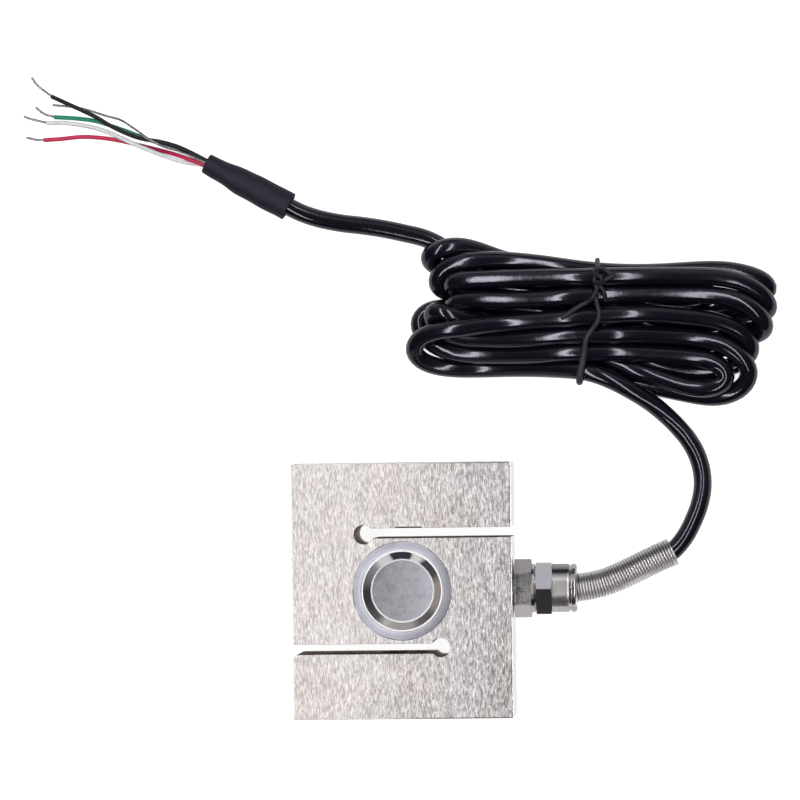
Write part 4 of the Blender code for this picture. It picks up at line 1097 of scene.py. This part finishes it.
class LOADCELL_OT_covers(bpy.types.Operator):
    """Make the two stamped covers and the sealant round them."""

    bl_idname = "loadcell.covers"
    bl_label = "Covers and sealant"

    def execute(self, context):
        cover = context.scene.loadcell_covers
        steel = stamped_steel(cover)
        paste = sealant(cover)
        for side, name, height in ((1, "front", BEAM_HIGH.z), (-1, "rear", BEAM_LOW.z)):
            cup = self.cup(name + "_cover_dressed", cover)
            bead = self.bead(name + "_sealant_dressed", cover, side)
            turn = Matrix.Rotation(0.0 if side > 0 else math.pi, 4, "X")
            for piece in (cup, bead):
                piece.data.transform(Matrix.Translation((0.0, 0.0, height)) @ turn)
            dress(cup, steel, [name + "_cover"])
            dress(bead, paste, [name + "_sealant"])
        return {"FINISHED"}

    @staticmethod
    def cup(name, cover):
        """The cup from the middle of its floor out to the flange and back underneath."""
        flange = -cover.recess
        lip = flange + 0.00012
        floor = lip - cover.depth
        back = flange - cover.sheet
        under = floor - cover.sheet
        rows = rounded([
            (0.0, floor, 0), (cover.floor, floor, 0.00030), (cover.reach - 0.00012, lip, 0.00016),
            (cover.reach + 0.00020, lip, 0.00018), (cover.reach + 0.00042, flange, 0.00018),
            (cover.flange, flange, 0)])
        rows += [(cover.flange, back, 0), (cover.reach + 0.0001, back, 0),
                 (cover.floor, under + 0.0002, 0), (cover.floor - 0.0004, under, 0), (0.0, under, 0)]
        return turned(name, rows, closed=False, steps=144, sharp=45.0)

    @staticmethod
    def bead(name, cover, side):
        """A low ring of sealant whose outer edge wanders a little; in front it has a notch."""
        profile = ((0.00, -0.00022), (0.06, -0.00014), (0.22, -0.00007), (0.50, -0.00003),
                   (0.80, 0.00001), (0.94, 0.00002), (1.00, -0.00005), (1.0, -0.00055),
                   (0.62, -0.00055), (0.55, -0.00022))
        waves = ((0.000050, 5, 1.3 * side), (0.000035, 11, 0.4), (0.000030, 23, 2.0 * side))
        steps = 216
        vertices = []
        for part, height in profile:
            for step in range(steps):
                angle = ROUND * step / steps
                wander = sum(size * math.sin(count * angle + shift) for size, count, shift in waves)
                notch = 0.00022 * math.exp(-((angle - 4.9) / 0.035) ** 2) if side > 0 else 0.0
                outer = cover.sealant_outer + wander - notch
                inner = cover.sealant_inner + 0.000030 * math.sin(7 * angle + 2.2)
                reach = inner + (outer - inner) * part if part < 1 else outer
                vertices.append((reach * math.cos(angle), reach * math.sin(angle), height))
        rings = [list(range(first, first + steps)) for first in range(0, len(vertices), steps)]
        return add_mesh(name, vertices, join_rings(rings, True), 50.0)


# Gland


class LOADCELL_OT_gland(bpy.types.Operator):
    """Make the gland's body and its nut."""

    bl_idname = "loadcell.gland"
    bl_label = "Cable gland"

    def execute(self, context):
        gland = context.scene.loadcell_gland
        spring = context.scene.loadcell_spring
        nickel = plated_brass(gland)
        hexagon_start = WASHER_END + WASHER_GAP
        lip = hexagon_start - gland.lip
        collar_start = hexagon_start + gland.lower_length
        collar_end = collar_start + gland.collar_length
        bush_floor = TUBE_END - BUSH_DEPTH
        body = [(gland.passage, BODY_BACK, 0), (gland.boss, BODY_BACK, 0), (gland.boss, hexagon_start, 0),
                (gland.lip_bore, hexagon_start, 0), (gland.lip_bore, lip, 0)]
        body += hexagon_rows(lip, collar_start, gland.lower_flats, gland.chamfer * 0.6)
        body += [(gland.collar, collar_start, 0), (gland.collar, collar_end - EDGE, 0),
                 (gland.collar - EDGE, collar_end, 0), (gland.tube, collar_end, 0),
                 (gland.tube, TUBE_END, 0), (gland.cage, TUBE_END, 0), (gland.cage, bush_floor, 0),
                 (gland.passage, bush_floor, 0)]
        dress(along_x(turned("gland_body_dressed", body, turn=math.pi / 6, sharp=25.0)), nickel,
              ["gland_body"])

        sleeve_start = NUT_BACK + gland.upper_length
        groove_start = sleeve_start + gland.sleeve_length
        rim_start = groove_start + gland.groove_length
        waist = gland.sleeve - gland.groove_depth
        bore = gland.tube + GAP
        seat = spring.radius + GAP
        seat_floor = NUT_MOUTH - spring.seat - GAP
        nut = [(bore, NUT_BACK, 0)]
        nut += hexagon_rows(NUT_BACK, sleeve_start, gland.upper_flats, gland.chamfer)
        nut += rounded([(gland.sleeve, sleeve_start, 0), (gland.sleeve, groove_start, EDGE),
                        (waist, groove_start, 0), (waist, rim_start, 0), (gland.sleeve, rim_start, EDGE),
                        (gland.sleeve, NUT_MOUTH, gland.rim), (seat + EDGE, NUT_MOUTH, 0),
                        (seat, NUT_MOUTH - EDGE, 0)])
        nut += [(seat, seat_floor, 0), (gland.passage, seat_floor, 0), (gland.passage, TUBE_END + GAP, 0),
                (bore, TUBE_END + GAP, 0)]
        dress(along_x(turned("gland_nut_dressed", nut, sharp=25.0)), nickel, ["gland_nut"])
        return {"FINISHED"}


# Spring and cable


def spring_axis(spring):
    """The spring's axis out of the nut, bent and drooping a little."""
    reach = SPRING_ROUTE[-1][0]
    return [from_mouth(x, y, MID_DEPTH - spring.droop * (x / reach) ** 2) for x, y in SPRING_ROUTE]


class LOADCELL_OT_spring(bpy.types.Operator):
    """Wind the spring relief along its bent axis."""

    bl_idname = "loadcell.spring"
    bl_label = "Spring relief"

    def execute(self, context):
        spring = context.scene.loadcell_spring
        steel = spring_steel(spring)
        start = (NUT_MOUTH - spring.seat + spring.wire, 0.0, MID_DEPTH)
        line = smooth_line([start, *spring_axis(spring)], 0.0004)
        piece = coil("relief_spring_dressed", line, steel, spring.turns, spring.radius - spring.wire,
                     spring.wire, points=int(spring.turns * 36), sides=10, sharp=80.0)
        dress(piece, None, ["relief_spring"])
        return {"FINISHED"}


def wound_route(radius):
    """The drawn hank: points with their heights, and whether each is in sight."""
    points = []
    before = FIRST_HEIGHT
    for number, row in enumerate(WINDING):
        (tip_x, tip_y, tip_z, reach_in, y_in, reach_out, y_out, bend_seen, *levels, height, seen) = row
        side = 1 if number % 2 else -1
        bend = [(angle, reach_in, y_in, before, 1) for angle in reversed(BEND_ANGLES)]
        bend += [(0, 0.0, tip_y, tip_z, 3)]
        bend += [(angle, reach_out, y_out, height, 2) for angle in BEND_ANGLES]
        for angle, reach, y_far, z_far, part in bend:
            turn = math.radians(angle)
            points.append((tip_x - side * reach * (1 - math.cos(turn)),
                           tip_y + (y_far - tip_y) * math.sin(turn),
                           tip_z + (z_far - tip_z) * math.sin(turn), bool(bend_seen & part)))
        stations = list(zip(STATIONS, levels))
        for x, y in stations if side < 0 else reversed(stations):
            points.append((x, y, height, seen))
        before = height
    return [(*from_mouth(x, y, max(z / 1000, radius)), float(seen)) for x, y, z, seen in points]


def push_apart(place, near, far, give, diameter):
    """Push each pair of points apart that lies closer than the cord's diameter."""
    gap = place[far] - place[near]
    size = np.linalg.norm(gap, axis=1)
    hit = size < diameter
    one, two = near[hit], far[hit]
    short = (diameter - size[hit]) / np.maximum(size[hit], 0.00005)
    push = (short / (give[one] + give[two]))[:, None] * gap[hit]
    total = np.zeros_like(place)
    count = np.zeros(len(place))
    for index, way in ((two, 1.0), (one, -1.0)):
        np.add.at(total, index, way * push * give[index, None])
        np.add.at(count, index, 1.0)
    return place + PUSH * total / np.maximum(count, 1.0)[:, None]


def settle(line, seen, diameter, rounds, held):
    """Let a wound cord sink and push itself apart, while what is in sight stays where it was drawn."""
    place = line.copy()
    radius = diameter / 2
    step = line_length(line) / (len(line) - 1)
    in_sight = seen > 0.5
    pull = np.where(in_sight[:, None], SEEN_PULL, HIDDEN_PULL)
    give = np.where(in_sight, SEEN_GIVE, 1.0)
    one, two = np.triu_indices(len(line), NEIGHBOURS)
    reach = STRAIGHT_REACH
    for turn in range(rounds):
        place[:, 2] -= SINK
        place += pull * (line - place)
        place[1:-1] += EVEN_OUT * (0.5 * (place[:-2] + place[2:]) - place[1:-1])
        spans = [place[part * reach:len(place) - (4 - part) * reach] for part in range(5)]
        bend = spans[0] - 4 * spans[1] + 6 * spans[2] - 4 * spans[3] + spans[4]
        place[2 * reach:-2 * reach] -= STRAIGHTEN / 16 * bend
        for _ in range(2):
            gap = np.diff(place, axis=0)
            size = np.linalg.norm(gap, axis=1, keepdims=True)
            shift = KEEP_LENGTH * (1 - step / size) * gap
            place[:-1] += shift
            place[1:] -= shift
        if turn % 3 == 0:
            apart = np.abs(place[one, :2] - place[two, :2]).max(axis=1)
            near, far = one[apart < 1.5 * diameter], two[apart < 1.5 * diameter]
        for _ in range(3):
            place = push_apart(place, near, far, give, diameter)
            place[:, 2] = np.maximum(place[:, 2], radius)
        place[held] = line[held]
    for weight in SMOOTHING:
        place[1:-1] += weight * (0.5 * (place[:-2] + place[2:]) - place[1:-1])
        place[:, 2] = np.maximum(place[:, 2], radius)
        place[held] = line[held]
    return place


def sleeve_place(cable):
    """The middle of the sleeve's mouth on the jacket, and of its small end."""
    x, y, lift = TAIL_ROUTE[-1]
    mouth = Vector(from_mouth(x, y, cable.diameter / 2 + lift / 1000))
    return mouth, mouth + cable.sleeve_length * SLEEVE_WAY


def rest_height(line, diameter, x, y):
    """Height of a settled cord's top at a point in X and Y."""
    off = np.hypot(line[:, 0] - x, line[:, 1] - y)
    under = off < diameter / 2
    if not under.any():
        return 0.0
    return float((line[under, 2] + np.sqrt((diameter / 2) ** 2 - off[under] ** 2)).max())


class LOADCELL_OT_cable(bpy.types.Operator):
    """Lay the cable from the nut through the hank to the sleeve, and tie the hank."""

    bl_idname = "loadcell.cable"
    bl_label = "Cable, tie and sleeve"

    def execute(self, context):
        cable = context.scene.loadcell_cable
        radius = cable.diameter / 2
        line = self.route(context, cable)
        jacket = glossy_jacket("cable_jacket", cable.jacket, 0.085, 0.60, wave=0.0026, depth=0.00005,
                               crown=cable.crown)
        cord = cord_curve("signal_cable", line, radius, 6)
        dress(cord, jacket, ["cable_lead", "cable_hank", "cable_tail"])
        tie = self.tie(cable, line)
        sleeve = self.sleeve(cable)
        from_mouth(0.0, 0.0, MID_DEPTH)
        return {"FINISHED"}

    @staticmethod
    def route(context, cable):
        """The whole cable's centreline, with its hank settled."""
        radius = cable.diameter / 2
        start = [(NUT_MOUTH - 0.003, 0.0, MID_DEPTH, 1.0)]
        start += [(*point, 1.0) for point in spring_axis(context.scene.loadcell_spring)]
        start += [(*from_mouth(x, y, radius + lift / 1000), 1.0) for x, y, lift in LEAD_ROUTE + INTO_HANK]
        end = [(*from_mouth(x, y, radius + lift / 1000), 1.0) for x, y, lift in OUT_OF_HANK + TAIL_ROUTE]
        mouth, _ = sleeve_place(cable)
        end += [(*(mouth + cable.sleeve_overlap * part * SLEEVE_WAY), 1.0) for part in (0.35, 0.7, 1.0)]
        line = smooth_line(start + wound_route(radius) + end, cable.spacing)
        along = distances(line)
        held = (along < HELD_LEAD) | (along > along[-1] - HELD_TAIL)
        return settle(line[:, :3], line[:, 3], cable.diameter, cable.rounds, held)

    @staticmethod
    def tie(cable, line):
        """The thin tie round the waist, and its ends twisted together over the hank."""
        radius = cable.tie_radius

        def place(points):
            """Lay points on the settled hank, without a dip deeper than both neighbours."""
            spots = [from_mouth(x, y)[:2] for x, y, _ in points]
            heights = [rest_height(line, cable.diameter, *spot) + radius * 0.8 + row[2] / 1000
                       for spot, row in zip(spots, points)]
            for index in range(1, len(points) - 1):
                heights[index] = max(heights[index], min(heights[index - 1], heights[index + 1]))
            return [(*spot, height) for spot, height in zip(spots, heights)]

        under = [from_mouth(x, y, max(z / 1000, radius)) for x, y, z in TIE_UNDER]
        route = place(TIE_TOP) + under + place(TIE_RETURN)
        coating = tie_coating(cable)
        tie = cord_curve("hank_tie_dressed", smooth_line(route, 0.0005), radius, 3)
        # Thicker on the near side, where it comes up over the edge of the hank
        for point in tie.data.splines[0].points:
            near_side = min(1.0, max(0.0, (0.0585 - point.co.y) / 0.006))
            point.radius = 1.0 + 0.40 * near_side * min(1.0, point.co.z / 0.005)
        dress(tie, coating, ["hank_tie"])
        knot = cord_curve("hank_tie_knot", smooth_line(place(TIE_KNOT), 0.0004), radius * 0.9, 3)
        dress(knot, coating)
        return [tie, knot]

    @staticmethod
    def sleeve(cable):
        """The heat-shrink sleeve, drawn in on the wires and slightly creased."""
        small, wide, wall = cable.sleeve_small, cable.sleeve_wide, cable.sleeve_wall
        whole = cable.sleeve_length
        shoulder = whole - cable.sleeve_overlap
        rows = rounded([
            (small - wall, 0.0, 0), (small, 0.0, 0.0002), (small + 0.00012, shoulder * 0.35, 0.004),
            (wide - 0.0001, shoulder * 0.95, 0.004), (wide, whole * 0.9, 0.004),
            (wide + 0.00005, whole, 0.0002), (wide - wall, whole, 0)])
        rows += [(wide - wall, shoulder, 0), (small - wall, shoulder * 0.4, 0)]
        dense = []
        for (r1, z1, _), (r2, z2, _) in zip(rows, rows[1:]):
            pieces = max(1, int(abs(z2 - z1) / 0.0006))
            dense += [(r1 + (r2 - r1) * k / pieces, z1 + (z2 - z1) * k / pieces, 0) for k in range(pieces)]
        dense.append(rows[-1])
        item = turned("heat_shrink_dressed", dense, steps=48, sharp=60.0)
        for vertex in item.data.vertices:
            part = min(1.0, max(0.0, (vertex.co.z - shoulder * 0.42) / (shoulder * 0.55)))
            vertex.co.x *= 1.0 + cable.sleeve_flat * part * part * (3 - 2 * part)
            angle = math.atan2(vertex.co.y, vertex.co.x)
            crease = 0.00005 * math.sin(2 * angle + 500 * vertex.co.z)
            crease += 0.00004 * math.sin(3 * angle - 900 * vertex.co.z + 1.0)
            reach = math.hypot(vertex.co.x, vertex.co.y)
            vertex.co.x += crease * vertex.co.x / reach
            vertex.co.y += crease * vertex.co.y / reach
        _, end = sleeve_place(cable)
        turn = (-SLEEVE_WAY).to_track_quat("Z", "Y").to_matrix().to_4x4()
        item.data.transform(Matrix.Translation(end) @ turn)
        return dress(item, shrink_tubing(cable), ["heat_shrink"])


# Wires


class LOADCELL_OT_wires(bpy.types.Operator):
    """Lay the four insulated wires with their bare ends, and the shield."""

    bl_idname = "loadcell.wires"
    bl_label = "Wires and shield"

    def execute(self, context):
        cable = context.scene.loadcell_cable
        wires = context.scene.loadcell_wires
        _, end = sleeve_place(cable)
        tin = tinned_copper(wires.tin)
        back = (cable.sleeve_length - cable.sleeve_overlap - 0.0006) * SLEEVE_WAY
        across = Vector((0.0, 0.0, 1.0)).cross(SLEEVE_WAY).normalized()

        def inside(offset):
            """A wire's way through the sleeve."""
            return [tuple(end + offset - back * part) for part in (1.0, 0.5, 0.0)]

        def outside(points):
            """A wire's way past the sleeve."""
            return [(end.x + x / 1000, end.y + y / 1000, z / 1000) for x, y, z in points]

        for name, route in CORE_ROUTES.items():
            side, level = CORE_SIDES[name]
            offset = wires.spread * (side * across + level * SLEEVE_WAY.cross(across))
            line = smooth_line(inside(offset) + outside(route), 0.0006)
            core = cord_curve("core_%s_dressed" % name, line, wires.core, 4)
            insulation = glossy_jacket(name + "_insulation", getattr(wires, name), 0.34, 0.3)
            dress(core, insulation, ["core_" + name])
            bare = smooth_line([tuple(line[-2]), *outside(STRAND_ENDS[name])], 0.0003)
            strand = coil("strand_%s_dressed" % name, bare, tin, 2.2, wires.bundle, wires.strand,
                          strands=7, points=44, sides=6, sharp=80.0)
            dress(strand, None, ["strand_" + name])
        line = smooth_line(inside(Vector((0.0, 0.0, wires.drain_lift))) + outside(DRAIN_ROUTE), 0.0005)
        drain = coil("shield_drain_dressed", line, tin, 17.0, wires.bundle * 1.05, wires.strand * 0.95,
                     strands=5, points=260, sides=6, sharp=80.0)
        dress(drain, None, ["shield_drain"])
        return {"FINISHED"}


# What the frame keeps


class LOADCELL_OT_inner(bpy.types.Operator):
    """Give the CAD nodes that stay their finishes."""

    bl_idname = "loadcell.inner"
    bl_label = "Inner pieces"

    def execute(self, context):
        wires = context.scene.loadcell_wires
        rubber = plain_finish("black_rubber", (0.018, 0.018, 0.018), 0.7)
        finishes = {
            "gland_washer": plain_finish("washer_rubber", (0.30, 0.265, 0.245), 0.6),
            "sealing_insert": rubber,
            "clamp_ring": plain_finish("brass", (0.70, 0.52, 0.22), 0.3, 1.0),
            "cable_inner": plain_finish("inner_jacket", context.scene.loadcell_cable.jacket, 0.25),
            "terminal_board": plain_finish("circuit_board", (0.03, 0.18, 0.08), 0.45),
            "bridge_resistor": plain_finish("resistor_body", (0.10, 0.22, 0.40), 0.4),
            "gauge_lead": plain_finish("lead_enamel", (0.45, 0.12, 0.04), 0.35),
            "strain_gauge": plain_finish("gauge_foil", (0.55, 0.36, 0.10), 0.35),
            "inner_core_red": plain_finish("inner_red", wires.red, 0.4),
            "inner_core_green": plain_finish("inner_green", wires.green, 0.4),
            "inner_core_white": plain_finish("inner_white", wires.white, 0.4),
            "inner_core_black": plain_finish("inner_black", wires.black, 0.4),
        }
        for name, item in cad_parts.items():
            for start, material in finishes.items():
                if name.startswith(start):
                    item.data.materials.clear()
                    item.data.materials.append(material)
        return {"FINISHED"}


# Stage


def white_floor(glow):
    """White for the camera and in reflections, with the part's soft shadow left on it."""
    material = bpy.data.materials.new("white_floor")
    material.use_nodes = True
    material.node_tree.nodes.clear()
    tree = Tree(material.node_tree)
    rays = tree.node("ShaderNodeLightPath").outputs
    mirrored = tree.math("MAXIMUM", rays["Is Glossy Ray"], rays["Is Transmission Ray"])
    paper = tree.node("ShaderNodeBsdfDiffuse", inputs={"Color": (0.62, 0.62, 0.62)}).outputs[0]
    light = tree.node("ShaderNodeEmission", inputs={"Color": (1.0, 1.0, 1.0), "Strength": glow}).outputs[0]
    both = tree.node("ShaderNodeAddShader", inputs={0: paper, 1: light}).outputs[0]
    unseen = tree.node("ShaderNodeMixShader", inputs={0: mirrored, 1: paper, 2: light}).outputs[0]
    mixed = tree.node("ShaderNodeMixShader", inputs={0: rays["Is Camera Ray"], 1: unseen, 2: both})
    tree.node("ShaderNodeOutputMaterial", inputs={"Surface": mixed.outputs[0]})
    return material


def studio_world(strength):
    """A dim studio with a bright ring of wall round its far side, behind the hank."""
    world = bpy.data.worlds.new("studio")
    world.use_nodes = True
    world.node_tree.nodes.clear()
    tree = Tree(world.node_tree)
    way = tree.node("ShaderNodeTexCoord").outputs["Generated"]
    axes = tree.node("ShaderNodeSeparateXYZ", inputs={0: way}).outputs
    tilt = tree.value(axes[1]) * 0.5 + 0.5
    level = tree.node("ShaderNodeValToRGB", {"stops": WALL_LIGHT}, {"Fac": tilt}).outputs["Color"]
    light = tree.node("ShaderNodeBackground", inputs={
        "Color": (0.95, 0.97, 1.0), "Strength": tree.value(level) * strength})
    tree.node("ShaderNodeOutputWorld", inputs={"Surface": light.outputs[0]})
    return world


def add_lamp(name, place, aim, size, power):
    """A soft rectangular lamp that the camera doesn't see."""
    data = bpy.data.lights.new(name, "AREA")
    data.shape = "RECTANGLE"
    data.size, data.size_y = size
    data.energy = power
    lamp = add_object(name, data)
    lamp.location = place
    lamp.rotation_euler = (Vector(aim) - Vector(place)).to_track_quat("-Z", "Y").to_euler()
    lamp.visible_camera = False


class LOADCELL_OT_stage(bpy.types.Operator):
    """Set up the floor, the lamps, the studio's walls and the camera."""

    bl_idname = "loadcell.stage"
    bl_label = "Stage and camera"

    def execute(self, context):
        stage = context.scene.loadcell_stage
        corners = [(x * FLOOR_HALF, y * FLOOR_HALF, 0.0) for x, y in ((-1, -1), (1, -1), (1, 1), (-1, 1))]
        floor = add_mesh("floor", corners, [(0, 1, 2, 3)])
        floor.data.transform(Matrix.Translation((0.0, 0.0, -FLOOR_DROP)))
        floor.data.materials.append(white_floor(stage.glow))
        context.scene.world = studio_world(stage.surround)
        for name, side, power in (("right_strip", 1, stage.right), ("left_strip", -1, stage.left)):
            add_lamp(name, (side * STRIP_ASIDE, STRIP_AIM[1], STRIP_HEIGHT), STRIP_AIM, STRIP_SIZE, power)

        data = bpy.data.cameras.new("camera")
        data.sensor_width = 36.0
        data.lens = CAMERA_LENS
        data.clip_start = 0.01
        camera = add_object("camera", data)
        back = (CAMERA_PLACE - CAMERA_AIM).normalized()
        right = CAMERA_UP.cross(back).normalized()
        turn = Matrix((right, back.cross(right), back)).transposed().to_4x4()
        camera.matrix_world = Matrix.Translation(CAMERA_PLACE) @ turn
        context.scene.camera = camera
        context.scene.view_settings.view_transform = "Standard"
        return {"FINISHED"}


class LOADCELL_PT_panel(bpy.types.Panel):
    """Lists the steps of dressing the load cell."""

    bl_label = "Load cell"
    bl_idname = "LOADCELL_PT_panel"
    bl_space_type = "VIEW_3D"
    bl_region_type = "UI"
    bl_category = "Load cell"

    def draw(self, context):
        for step in STEPS:
            self.layout.operator(step.bl_idname)
        for name in SETTINGS:
            box = self.layout.box()
            box.label(text=name.replace("loadcell_", "").capitalize())
            group = getattr(context.scene, name)
            for entry in group.bl_rna.properties:
                if entry.identifier not in ("name", "rna_type"):
                    box.prop(group, entry.identifier)


SETTINGS = {
    "loadcell_beam": BeamSettings,
    "loadcell_covers": CoverSettings,
    "loadcell_gland": GlandSettings,
    "loadcell_spring": SpringSettings,
    "loadcell_cable": CableSettings,
    "loadcell_wires": WireSettings,
    "loadcell_stage": StageSettings,
}
STEPS = (LOADCELL_OT_beam, LOADCELL_OT_covers, LOADCELL_OT_gland, LOADCELL_OT_spring, LOADCELL_OT_cable,
         LOADCELL_OT_wires, LOADCELL_OT_inner, LOADCELL_OT_stage)


def register():
    """Register the settings, the steps and the panel."""
    for name, group in SETTINGS.items():
        bpy.utils.register_class(group)
        setattr(bpy.types.Scene, name, PointerProperty(type=group))
    for step in (*STEPS, LOADCELL_PT_panel):
        bpy.utils.register_class(step)


def unregister():
    """Take the panel, the steps and the settings away again."""
    for step in (LOADCELL_PT_panel, *reversed(STEPS)):
        bpy.utils.unregister_class(step)
    for name, group in SETTINGS.items():
        delattr(bpy.types.Scene, name)
        bpy.utils.unregister_class(group)


def main():
    """Make every piece."""
    register()
    for step in STEPS:
        family, action = step.bl_idname.split(".")
        getattr(getattr(bpy.ops, family), action)()


if __name__ == "__main__":
    main()
